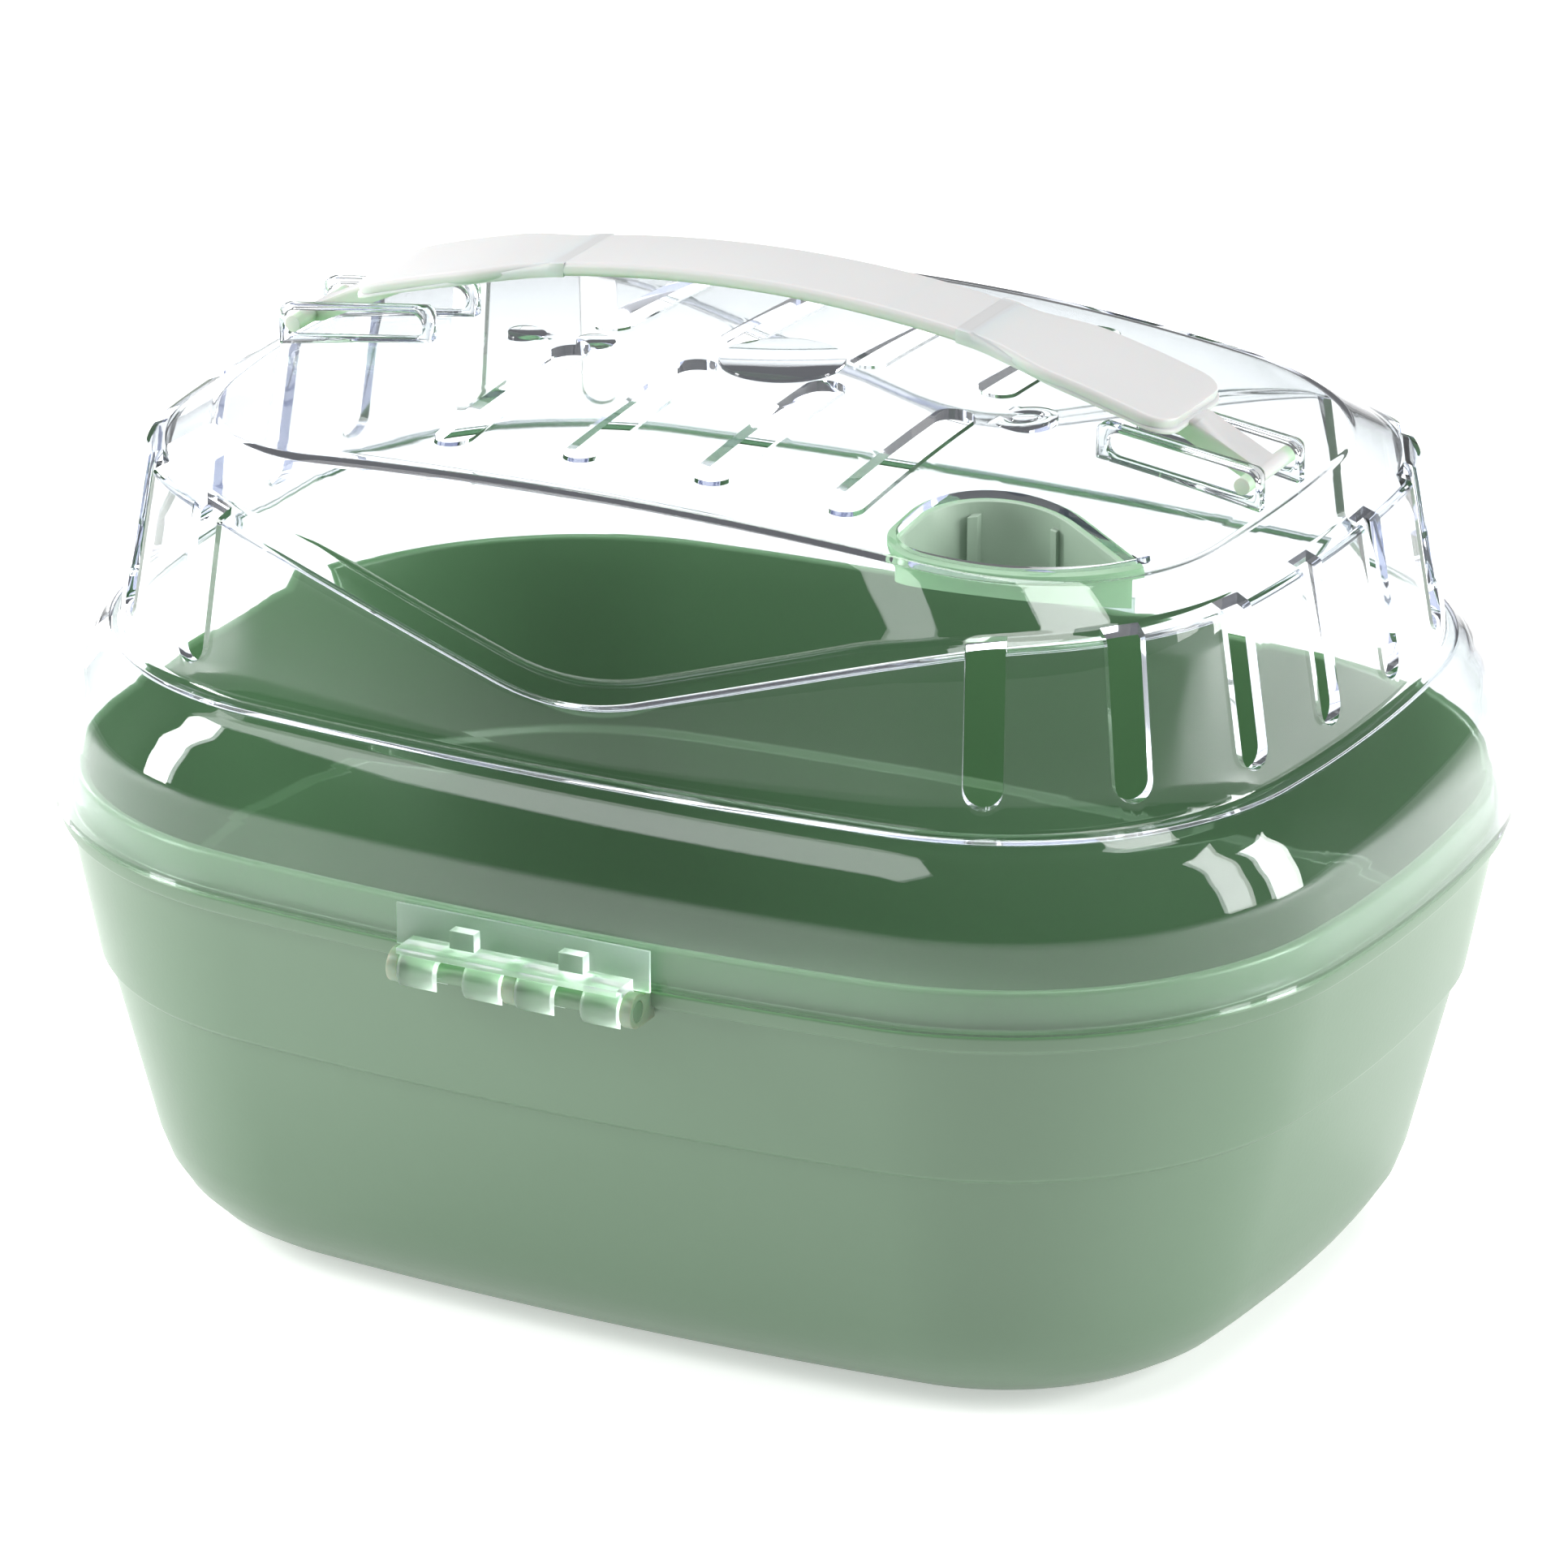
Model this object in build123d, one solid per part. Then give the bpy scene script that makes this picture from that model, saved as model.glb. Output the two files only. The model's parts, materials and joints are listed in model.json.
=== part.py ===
from build123d import *

# Small-animal carrier: an opaque tub, a clear snap-on lid with vent slots and a feeding port,
# and a flexible strap handle whose cross pins slide in four clear rails on the roof.
# Millimetres, +Z up, X along the length, the front (latch) side at -Y, the tub standing on Z = 0.

import os
from math import acos, atan2, cos, degrees, hypot, pi, radians, sin, sqrt, tan

# ------------------------------------------------------------------ driving dimensions
RIM_HALF_LENGTH = 148.0  # tub rim, half the length
RIM_HALF_WIDTH = 112.5  # tub rim, half the width
LONG_SIDE_RADIUS = 5.3 * RIM_HALF_LENGTH  # bulge of the long sides
END_RADIUS = 3.05 * RIM_HALF_WIDTH  # bulge of the short ends
CORNER_RADIUS = 79.0  # plan corners of the rim

STEP_HEIGHT = 60.0  # the small step round the tub wall
RIM_HEIGHT = 92.0  # underside of the rim flange
FLANGE_THICKNESS = 4.0
UPSTAND_HEIGHT = 7.7  # lip of the tub that stands inside the lid skirt
TUB_WALL = 2.4
TUB_FLOOR = 3.0
TUB_BOTTOM_RADIUS = 28.0

LID_WALL = 2.4
SKIRT_HEIGHT = 38.5  # from the flange to the foot of the lid wall
LID_WALL_HEIGHT = 37.1  # from the foot to the shoulder
ROOF_RISE = 18.5  # from the shoulder to the middle of the roof
DOME_RADIUS = 604.0
ROOF_HALF_LENGTH = 115.5
ROOF_HALF_WIDTH = 78.3
ROOF_CORNER_RADIUS = 50.0
V_DEPTH = 27.0  # how far the shoulder dips, down to where the straight flanks would meet
V_HALF_SPAN = 88.0
V_BOTTOM_RADIUS = 55.0
V_LEDGE_WIDTH = 6.3  # sloping ledge along the V
V_LEDGE_SLOPE = 0.55
V_END_RISE = 2.4  # height of the V's ledge over the shoulder where its flanks run out
V_REACH = 12.0  # how far the V's wedge is carried past the wall
CREST_LIFT = 0.4  # the wedge starts this far over the roof, so that it cuts a clean edge
CREST_SPLIT = 0.15  # share of the half span covered by the middle arc of the roof edge

VENT_WIDTH = 8.2  # slots down the ends of the lid
VENT_LENGTH = 31.5
VENT_REACH = 8.0  # how far a vent cutter stands out of the wall
VENT_LEDGE_CUT = 1.4  # how far the vents cut into the roof past the ledge
VENT_PITCH = 29.5
VENTS_PER_END = 8

ROOF_SLOT_WIDTH = 8.8
ROOF_SLOT_PITCH = 29.8
ROOF_SLOTS_PER_ROW = 4
ROOF_SLOT_NEAR = 10.2  # centre of the end arc nearest the middle line
ROOF_SLOT_FAR = 59.2

PORT_LEFT = 58.3  # feeding port in the roof, front right
PORT_RIGHT = 105.2
PORT_BACK = 22.6  # where the slanting back edge would meet the left edge
PORT_BACK_SLANT = 28.8  # degrees
PORT_BACK_RADIUS = 18.7
PORT_RIGHT_RADIUS = 6.0
PORT_FRONT_RADIUS = 8.0
PORT_MARGIN = 5.0  # roof left between the port and the roof edge
CUP_DEPTH = 20.0  # at the back; the bottom rises to the front like a scoop
CUP_FRONT_DEPTH = 5.0
CUP_CENTRE_X = 81.5
CUP_WALL = 1.6
CUP_FIT = 0.15  # cup neck to port edge
CUP_NECK_DROP = 1.6  # cup rim below the roof surface
CUP_FLANGE_REACH = 1.95
CUP_FLANGE_THICKNESS = 1.4
CUP_RIB_PITCH = 16.0
CUP_RIB_WIDTH = 1.6
CUP_RIB_DEPTH = 1.2
CUP_RIB_DROP = 2.6  # rib tops below the cup rim
CUP_RIB_FRONT = 56.0  # ribs are only on the back wall, behind this

DISC_HEIGHT = 0.7  # plain round bosses moulded on the roof
ROOF_DISCS = ((0.0, 0.0, 13.4), (57.2, -2.8, 7.0), (-41.6, -4.1, 4.2), (-58.8, -2.5, 4.2))

PLATE_HALF_LENGTH = 29.0  # clear plate on the skirt
PLATE_HEIGHT = 9.0
TAB_OFFSET = 12.5  # finger tabs on the plate
TAB_WIDTH = 5.6
TAB_HEIGHT = 4.6
TAB_DEPTH = 3.4
SHELF_THICKNESS = 1.4  # ledge over the knuckles
PAD_DEPTH = 3.0  # flat on the bulged skirt behind the plate
BRACKET_HALF_LENGTH = 28.0
CAP_THICKNESS = 2.5
DIVIDER_THICKNESS = 3.0
ROD_DIAMETER = 4.4
KNUCKLE_RADIUS = 4.3
CAP_RADIUS = 3.7  # smaller than the knuckles, so that the lid's clip plate swings past
KNUCKLE_LENGTH = 8.3
ROD_CLEARANCE = 0.08
CLIP_PLATE_THICKNESS = 0.7

RAIL_INNER = 77.3  # inner end of each rail, from the middle of the roof
RAIL_LENGTH = 36.9
RAIL_SPACING = 19.2
RAIL_THICKNESS = 2.8
RAIL_INNER_HEIGHT = 8.0
RAIL_SLOPE = 7.7  # degrees the rail tops fall outwards
RAIL_CORNER_RADIUS = 2.0
PIN_DIAMETER = 3.6
PIN_OVERHANG = 0.6  # pin ends past the rails' outer faces
PIN_SETBACK = 3.8  # pin axis from the rails' outer ends
PIN_DROP = 4.2  # pin axis below the rail tops
NECK_LENGTH = 13.0  # root of the neck, back from the strap's end
NECK_CLEAR = 5.0  # neck top, back from the strap's end
NECK_WIDTH = 8.4
NECK_THICKNESS = 3.4
PIN_SLOT_HEIGHT = 5.6
PIN_SLOT_INSET = 5.0  # inner end of the slot from the rail's inner end

STRAP_WIDTH = 22.4
PADDLE_WIDTH = 30.0  # the strap's widened ends
PADDLE_START = 69.0
PADDLE_TAPER = 18.0  # length over which the strap widens
PADDLE_BLEND_RADIUS = 35.0
PADDLE_CORNER_RADIUS = 6.0
STRAP_THICKNESS = 3.0
STRAP_HALF_LENGTH = 95.0
STRAP_RISE = 15.2
STRAP_GAP = 18.1  # finger room between the roof and the strap
GRIP_HALF_LENGTH = 45.0
FLEX_GAP = 0.9  # slit between the grip and each arm, where the strap bends

FIT = 0.3  # clearance between pieces that move past each other

# ------------------------------------------------------------------ derived heights
FLANGE_TOP = RIM_HEIGHT + FLANGE_THICKNESS
UPSTAND_TOP = FLANGE_TOP + UPSTAND_HEIGHT
WALL_FOOT = FLANGE_TOP + SKIRT_HEIGHT
SHOULDER = WALL_FOOT + LID_WALL_HEIGHT
ROOF_TOP = SHOULDER + ROOF_RISE
DOME_CENTRE = ROOF_TOP - DOME_RADIUS

# Insets of the outer surface from the rim outline, from the bottom upwards.
FLOOR_INSET = 24.7
LOWER_WALL_TOP_INSET = 9.8
UPPER_WALL_FOOT_INSET = 8.3
UPPER_WALL_TOP_INSET = 2.2
UPSTAND_INSET = 3.8
SKIRT_OVERHANG = 1.1
SHOULDER_INSET = 19.9
LEDGE_WIDTH = 4.2
WALL_FOOT_INSET = 13.9

ROD_OFFSET = RIM_HALF_WIDTH + KNUCKLE_RADIUS + 0.5
ROD_HEIGHT = RIM_HEIGHT + 1.0


# ------------------------------------------------------------------ shared shapes
def arc(centre, radius, start, end, z):
    """Arc about a plan point, angles in radians."""
    points = [
        (centre[0] + radius * cos(a), centre[1] + radius * sin(a), z)
        for a in (start, (start + end) / 2, end)
    ]
    return Edge.make_three_point_arc(*points)


def bulged_outline(half_length, half_width, side_radius, end_radius, corner_radius, z):
    """Face bounded by four bulged sides and four tangent corner arcs, at height z."""
    side = (0.0, half_width - side_radius)
    end = (half_length - end_radius, 0.0)
    to_side = side_radius - corner_radius
    to_end = end_radius - corner_radius
    span = hypot(end[0] - side[0], end[1] - side[1])
    along = (to_side**2 - to_end**2 + span**2) / (2 * span)
    across = sqrt(to_side**2 - along**2)
    ux = (end[0] - side[0]) / span
    uy = (end[1] - side[1]) / span
    corner = (side[0] + along * ux - across * uy, side[1] + along * uy + across * ux)
    if corner[1] < 0:
        corner = (side[0] + along * ux + across * uy, side[1] + along * uy - across * ux)
    low = atan2(corner[1] - end[1], corner[0] - end[0])
    high = atan2(corner[1] - side[1], corner[0] - side[0])
    cx, cy = corner
    edges = [
        arc(end, end_radius, -low, low, z),
        arc((cx, cy), corner_radius, low, high, z),
        arc(side, side_radius, high, pi - high, z),
        arc((-cx, cy), corner_radius, pi - high, pi - low, z),
        arc((-end[0], 0.0), end_radius, pi - low, pi + low, z),
        arc((-cx, -cy), corner_radius, pi + low, pi + high, z),
        arc((0.0, -side[1]), side_radius, pi + high, 2 * pi - high, z),
        arc((cx, -cy), corner_radius, -high, -low, z),
    ]
    return Face(Wire(edges))


def rim_outline(inset, z):
    """The tub rim outline moved inwards by inset, at height z."""
    return bulged_outline(
        RIM_HALF_LENGTH - inset,
        RIM_HALF_WIDTH - inset,
        LONG_SIDE_RADIUS - inset,
        END_RADIUS - inset,
        CORNER_RADIUS - inset,
        z,
    )


def roof_outline(inset, z):
    """The roof edge outline moved inwards by inset, at height z."""
    return bulged_outline(
        ROOF_HALF_LENGTH - inset,
        ROOF_HALF_WIDTH - inset,
        5.6 * ROOF_HALF_LENGTH - inset,
        3.8 * ROOF_HALF_WIDTH - inset,
        ROOF_CORNER_RADIUS - inset,
        z,
    )


def stacked(levels):
    """Solid through rim outlines given as (inset, height) pairs from the bottom up."""
    return loft([rim_outline(inset, z) for inset, z in levels], ruled=True)


def inward(levels, distance):
    """The (inset, height) profile moved inwards along its normals by distance."""
    moved = []
    for i, (inset, z) in enumerate(levels):
        normals = []
        for first, second in ((i - 1, i), (i, i + 1)):
            if first >= 0 and second < len(levels):
                run = levels[second][0] - levels[first][0]
                rise = levels[second][1] - levels[first][1]
                length = hypot(run, rise)
                normals.append((rise / length, -run / length))
        nx = sum(n[0] for n in normals) / len(normals)
        nz = sum(n[1] for n in normals) / len(normals)
        scale = distance / (nx * nx + nz * nz)
        moved.append((inset + nx * scale, z + nz * scale))
    return moved


def block(x0, x1, y0, y1, z0, z1):
    """Box between two corners."""
    solid = Box(x1 - x0, y1 - y0, z1 - z0)
    return Pos((x0 + x1) / 2, (y0 + y1) / 2, (z0 + z1) / 2) * solid


def rod_along_x(x0, x1, y, z, radius):
    """Cylinder with its axis along X."""
    return Pos((x0 + x1) / 2, y, z) * Rot(0, 90, 0) * Cylinder(radius, x1 - x0)


def rod_along_y(y0, y1, x, z, radius):
    """Cylinder with its axis along Y."""
    return Pos(x, (y0 + y1) / 2, z) * Rot(90, 0, 0) * Cylinder(radius, y1 - y0)


def ball(offset):
    """Ball whose top is the roof dome moved up by offset."""
    return Pos(0, 0, DOME_CENTRE) * Sphere(DOME_RADIUS + offset)


def roof_height(x, y):
    """Height of the roof surface over a plan point."""
    return DOME_CENTRE + sqrt(DOME_RADIUS**2 - x**2 - y**2)


# ------------------------------------------------------------------ tub
def wall_inset(z):
    """Inset of the lower tub wall's outer face at height z."""
    return FLOOR_INSET + (LOWER_WALL_TOP_INSET - FLOOR_INSET) * z / STEP_HEIGHT


def make_tub():
    """Open tub with a stepped wall, a rim flange and an upstand inside the lid skirt."""
    lower = stacked([(FLOOR_INSET, 0), (LOWER_WALL_TOP_INSET, STEP_HEIGHT)])
    lower = fillet(lower.edges().group_by(Axis.Z)[0], TUB_BOTTOM_RADIUS)
    upper = stacked(
        [
            (LOWER_WALL_TOP_INSET, STEP_HEIGHT),
            (UPPER_WALL_FOOT_INSET, STEP_HEIGHT + 1.0),
            (UPPER_WALL_TOP_INSET, RIM_HEIGHT - 0.8),
            (0.0, RIM_HEIGHT),
            (-0.2, FLANGE_TOP - FIT),
            (UPSTAND_INSET - 0.2, FLANGE_TOP - FIT),
            (UPSTAND_INSET, UPSTAND_TOP),
        ]
    )
    inner_foot = wall_inset(TUB_FLOOR) + TUB_WALL
    inner_step = LOWER_WALL_TOP_INSET + TUB_WALL
    cavity_low = stacked([(inner_foot, TUB_FLOOR), (inner_step, STEP_HEIGHT)])
    cavity_low = fillet(
        cavity_low.edges().group_by(Axis.Z)[0], TUB_BOTTOM_RADIUS - TUB_WALL
    )
    cavity_high = stacked(
        [(inner_step, STEP_HEIGHT), (UPSTAND_INSET + TUB_WALL, UPSTAND_TOP + 1.0)]
    )
    tub = (lower + upper) - (cavity_low + cavity_high)
    for side in (-1, 1):
        tub -= bracket_seat(side)
    return tub


def bracket_seat(side):
    """Space in the rim flange that takes a hinge bracket, on the front (-1) or back (+1)."""
    reach = BRACKET_HALF_LENGTH
    inner = RIM_HALF_WIDTH - UPPER_WALL_TOP_INSET
    near, far = sorted((side * inner, side * (RIM_HALF_WIDTH + 5)))
    return block(-reach, reach, near, far, RIM_HEIGHT - 6, FLANGE_TOP + 1)


# ------------------------------------------------------------------ hinge hardware
def make_bracket(side):
    """Bracket with two end caps and a middle divider that hold a hinge rod."""
    y = side * ROD_OFFSET
    back = side * (RIM_HALF_WIDTH - UPPER_WALL_TOP_INSET)
    face = side * (ROD_OFFSET - KNUCKLE_RADIUS - FIT)
    low = ROD_HEIGHT - CAP_RADIUS
    high = FLANGE_TOP - 0.6
    reach = BRACKET_HALF_LENGTH
    y0, y1 = sorted((back, face))
    bracket = block(-reach, reach, y0, y1, RIM_HEIGHT - 1.5, high)
    plates = (
        (-reach, -reach + CAP_THICKNESS),
        (-DIVIDER_THICKNESS / 2, DIVIDER_THICKNESS / 2),
        (reach - CAP_THICKNESS, reach),
    )
    for x0, x1 in plates:
        y0, y1 = sorted((back, y))
        plate = block(x0, x1, y0, y1, low, ROD_HEIGHT + CAP_RADIUS - 1.0)
        plate += rod_along_x(x0, x1, y, ROD_HEIGHT, CAP_RADIUS)
        bracket += plate
    return bracket - rod_along_x(-reach, reach, y, ROD_HEIGHT, ROD_DIAMETER / 2)


def make_rod(side):
    """Hinge rod pressed through a bracket."""
    reach = BRACKET_HALF_LENGTH
    return rod_along_x(-reach, reach, side * ROD_OFFSET, ROD_HEIGHT, ROD_DIAMETER / 2)


def knuckle_spans():
    """X ranges of the four snap knuckles between the caps and the divider."""
    inner = DIVIDER_THICKNESS / 2 + FIT
    outer = BRACKET_HALF_LENGTH - CAP_THICKNESS - FIT
    spans = []
    for sign in (-1, 1):
        for start in (inner, outer - KNUCKLE_LENGTH):
            ends = sorted((sign * start, sign * (start + KNUCKLE_LENGTH)))
            spans.append(tuple(ends))
    return spans


def make_clip_plate(side):
    """Clear plate on the skirt with four snap knuckles and two finger tabs."""
    y = side * ROD_OFFSET
    seat = side * clip_seat()
    face = seat + side * CLIP_PLATE_THICKNESS
    y0, y1 = sorted((seat, face))
    reach = PLATE_HALF_LENGTH
    plate = block(-reach, reach, y0, y1, FLANGE_TOP, FLANGE_TOP + PLATE_HEIGHT)
    bore = ROD_DIAMETER / 2 + ROD_CLEARANCE
    for x0, x1 in knuckle_spans():
        web0, web1 = sorted((seat, y))
        top = ROD_HEIGHT + KNUCKLE_RADIUS
        knuckle = rod_along_x(x0, x1, y, ROD_HEIGHT, KNUCKLE_RADIUS)
        knuckle += block(x0, x1, web0, web1, FLANGE_TOP, top)
        knuckle -= rod_along_x(x0, x1, y, ROD_HEIGHT, bore)
        knuckle -= block(x0, x1, y - bore, y + bore, RIM_HEIGHT - 8, ROD_HEIGHT)
        plate += knuckle
    y0, y1 = sorted((seat, y + side * KNUCKLE_RADIUS))
    reach = BRACKET_HALF_LENGTH - CAP_THICKNESS - FIT
    shelf_low = ROD_HEIGHT + KNUCKLE_RADIUS - FIT
    plate += block(-reach, reach, y0, y1, shelf_low, shelf_low + SHELF_THICKNESS)
    low = shelf_low + SHELF_THICKNESS / 2
    t0, t1 = sorted((seat, seat + side * TAB_DEPTH))
    for x in (-TAB_OFFSET, TAB_OFFSET):
        tab = block(x - TAB_WIDTH / 2, x + TAB_WIDTH / 2, t0, t1, low, low + TAB_HEIGHT)
        plate += tab
    return plate


def clip_seat():
    """Distance from the middle plane to the flat on the skirt that carries a clip plate."""
    return RIM_HALF_WIDTH + SKIRT_OVERHANG + 0.1


# ------------------------------------------------------------------ lid
def lid_profile():
    """Outer profile of the lid wall from the skirt edge to the shoulder ledge."""
    return [
        (-SKIRT_OVERHANG, FLANGE_TOP),
        (0.6, FLANGE_TOP + 0.52 * SKIRT_HEIGHT),
        (2.6, FLANGE_TOP + 0.66 * SKIRT_HEIGHT),
        (5.4, FLANGE_TOP + 0.77 * SKIRT_HEIGHT),
        (9.4, FLANGE_TOP + 0.89 * SKIRT_HEIGHT),
        (WALL_FOOT_INSET, WALL_FOOT),
        (SHOULDER_INSET, SHOULDER),
        (SHOULDER_INSET + LEDGE_WIDTH, SHOULDER + 1.6),
    ]


def dip_edges(y, half, apex, end):
    """V with a rounded bottom in the plane at y: left flank, arc, right flank."""
    slope = atan2(end - apex, half)
    touch_x = V_BOTTOM_RADIUS * sin(slope)
    touch_z = apex + touch_x * tan(slope)
    lowest = touch_z - V_BOTTOM_RADIUS * (1 - cos(slope))
    left, right = (-touch_x, y, touch_z), (touch_x, y, touch_z)
    return [
        Edge.make_line((-half, y, end), left),
        Edge.make_three_point_arc(left, (0, y, lowest), right),
        Edge.make_line(right, (half, y, end)),
    ]


def crest_edges(y, half, middle, end):
    """Roof edge curve in the plane at y, in three arcs so that it lofts to a V."""

    def place(x):
        return (x, y, middle - (middle - end) * (x / half) ** 2)

    stations = [-half, -CREST_SPLIT * half, CREST_SPLIT * half, half]
    return [
        Edge.make_three_point_arc(place(a), place((a + b) / 2), place(b))
        for a, b in zip(stations, stations[1:])
    ]


def above(edges, half, end, top):
    """Face between a run of edges and a level line over them."""
    y = edges[0].position_at(0).Y
    sides = [
        Edge.make_line((half, y, end), (half, y, top)),
        Edge.make_line((half, y, top), (-half, y, top)),
        Edge.make_line((-half, y, top), (-half, y, end)),
    ]
    return Face(Wire(edges + sides))


def v_cutter(side, inner):
    """Wedge removed above the front or back V: a sloping scoop and the ledge below it.

    inner gives the cavity's version, moved in by the lid wall.
    """
    deep = LID_WALL if inner else 0.0
    half = V_HALF_SPAN
    top = ROOF_TOP + 40
    edge_y = ROOF_HALF_WIDTH - 0.3 - 0.95 * deep
    edge_end = roof_height(half, edge_y) + CREST_LIFT - 0.35 * deep
    edge_middle = roof_height(0, edge_y) + CREST_LIFT - 0.35 * deep
    wall_y = RIM_HALF_WIDTH - (WALL_FOOT_INSET + SHOULDER_INSET) / 2 + 1.0
    ledge_y = wall_y - V_LEDGE_WIDTH - 0.8 * deep
    ledge_bottom = SHOULDER - V_DEPTH + V_LEDGE_SLOPE * (wall_y - ledge_y) - 0.6 * deep
    ledge_end = SHOULDER + V_END_RISE - 0.9 * deep
    outer_y = wall_y + V_REACH
    fall = V_LEDGE_SLOPE * (outer_y - ledge_y)
    outer_bottom = ledge_bottom - fall - 0.3 * deep
    outer_end = ledge_end - 0.4 * fall
    crest = above(crest_edges(side * edge_y, half, edge_middle, edge_end), half, edge_end, top)
    ledge = above(dip_edges(side * ledge_y, half, ledge_bottom, ledge_end), half, ledge_end, top)
    outer = above(dip_edges(side * outer_y, half, outer_bottom, outer_end), half, outer_end, top)
    return loft([crest, ledge], ruled=True) + loft([ledge, outer], ruled=True)


def lid_body(inner):
    """The lid's outer form, or with inner its cavity."""
    deep = LID_WALL if inner else 0.0
    profile = lid_profile()
    if inner:
        profile = inward(profile, deep)
        foot_inset, foot_z = profile[0]
        profile[0] = (foot_inset, foot_z - 2.0)
    wall = stacked(profile)
    last_inset, last_z = profile[-1]
    edge_z = roof_height(ROOF_HALF_LENGTH, 0) - 0.5 * deep
    roof_in = 0.9 * deep
    crown = loft(
        [
            rim_outline(last_inset, last_z),
            roof_outline(roof_in, edge_z),
            roof_outline(roof_in, ROOF_TOP + 5),
        ],
        ruled=True,
    )
    body = (wall + crown) & ball(-deep)
    for side in (-1, 1):
        body -= v_cutter(side, inner)
    return body


def outline_place(distance, inset):
    """Point and outward angle on the rim outline, distance along it from the end's middle."""
    a = RIM_HALF_LENGTH - inset
    end_radius = END_RADIUS - inset
    corner_radius = CORNER_RADIUS - inset
    side_radius = LONG_SIDE_RADIUS - inset
    side_y = RIM_HALF_WIDTH - inset - side_radius
    end_x = a - end_radius
    span = hypot(end_x, side_y)
    to_side = side_radius - corner_radius
    to_end = end_radius - corner_radius
    turn = acos((to_end**2 + span**2 - to_side**2) / (2 * to_end * span))
    toward = atan2(side_y, -end_x)
    low = toward - turn if sin(toward - turn) > 0 else toward + turn
    low = atan2(sin(low), cos(low))
    corner = (end_x + to_end * cos(low), to_end * sin(low))
    high = atan2(corner[1] - side_y, corner[0])
    sign = 1 if distance >= 0 else -1
    left = abs(distance)
    if left <= end_radius * low:
        angle = left / end_radius
        x, y = end_x + end_radius * cos(angle), end_radius * sin(angle)
    elif left <= end_radius * low + corner_radius * (high - low):
        angle = low + (left - end_radius * low) / corner_radius
        x = corner[0] + corner_radius * cos(angle)
        y = corner[1] + corner_radius * sin(angle)
    else:
        rest = left - end_radius * low - corner_radius * (high - low)
        angle = high + rest / side_radius
        x, y = side_radius * cos(angle), side_y + side_radius * sin(angle)
    return x, sign * y, sign * angle


def vent_cutter(distance):
    """Round-bottomed slot down the lid wall and through its shoulder."""
    inset = SHOULDER_INSET - 2.0
    x, y, angle = outline_place(distance, inset)
    foot = SHOULDER + 2.0 - VENT_LENGTH
    inner = -LEDGE_WIDTH - VENT_LEDGE_CUT
    half = VENT_WIDTH / 2
    shaft = block(inner, VENT_REACH, -half, half, foot, SHOULDER + 12)
    round_end = Pos((inner + VENT_REACH) / 2, 0, foot) * Rot(0, 90, 0)
    shaft += round_end * Cylinder(half, VENT_REACH - inner)
    return Pos(x, y, 0) * Rot(0, 0, degrees(angle)) * shaft


def roof_slot_cutter(x, row):
    """Stadium slot through the roof, running front to back; row is -1 (front) or +1."""
    near = row * ROOF_SLOT_NEAR
    far = row * ROOF_SLOT_FAR
    low, high = sorted((near, far))
    half = ROOF_SLOT_WIDTH / 2
    base = ROOF_TOP - 25
    shaft = block(x - half, x + half, low, high, base, ROOF_TOP + 5)
    for y in (near, far):
        shaft += Pos(x, y, base + 15) * Cylinder(half, 30)
    return shaft


def port_plan(shrink):
    """The feeding port's plan shape, made smaller all round by shrink."""
    left = PORT_LEFT + shrink
    right = PORT_RIGHT - shrink
    fall = tan(radians(PORT_BACK_SLANT))
    back = -PORT_BACK - shrink * (fall + 1 / cos(radians(PORT_BACK_SLANT)))
    front = -ROOF_HALF_WIDTH - 10
    right_back = back - fall * (right - left)
    plan = make_face(
        Polyline(
            (left, front), (right, front), (right, right_back), (left, back), close=True
        )
    )
    left_corner, right_corner = plan.vertices().sort_by(Axis.Y)[:-3:-1]
    plan = fillet(left_corner, PORT_BACK_RADIUS - shrink)
    plan = fillet(plan.vertices().sort_by_distance(right_corner)[0], PORT_RIGHT_RADIUS - shrink)
    plan = plan & roof_outline(PORT_MARGIN + shrink, 0.0)
    return fillet(plan.vertices().sort_by_distance((left, front, 0))[0], PORT_FRONT_RADIUS - shrink)


def port_column(shrink, z0, z1):
    """Upright column over the port's plan shape."""
    return Pos(0, 0, z0) * extrude(port_plan(shrink), z1 - z0, dir=(0, 0, 1))


def make_lid():
    """Clear lid: skirt, leaning wall, V-shaped front and back, domed roof with slots."""
    lid = lid_body(False)
    for x, y, radius in ROOF_DISCS:
        disc = Pos(x, y, roof_height(x, y)) * Cylinder(radius, 2 * LID_WALL)
        lid += disc & ball(DISC_HEIGHT)
    seat = clip_seat()
    for side in (-1, 1):
        y0, y1 = sorted((side * (seat - PAD_DEPTH), side * seat))
        reach = PLATE_HALF_LENGTH
        lid += block(-reach, reach, y0, y1, FLANGE_TOP, FLANGE_TOP + PLATE_HEIGHT)
    lid -= lid_body(True)
    for end in (1, -1):
        for i in range(VENTS_PER_END):
            cutter = vent_cutter((i - (VENTS_PER_END - 1) / 2) * VENT_PITCH)
            lid -= cutter if end > 0 else mirror(cutter, Plane.YZ)
    for row in (-1, 1):
        for i in range(ROOF_SLOTS_PER_ROW):
            x = (i - (ROOF_SLOTS_PER_ROW - 1) / 2) * ROOF_SLOT_PITCH
            lid -= roof_slot_cutter(x, row)
    lid -= port_column(0.0, ROOF_TOP - 30, ROOF_TOP + 5)
    return lid


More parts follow.
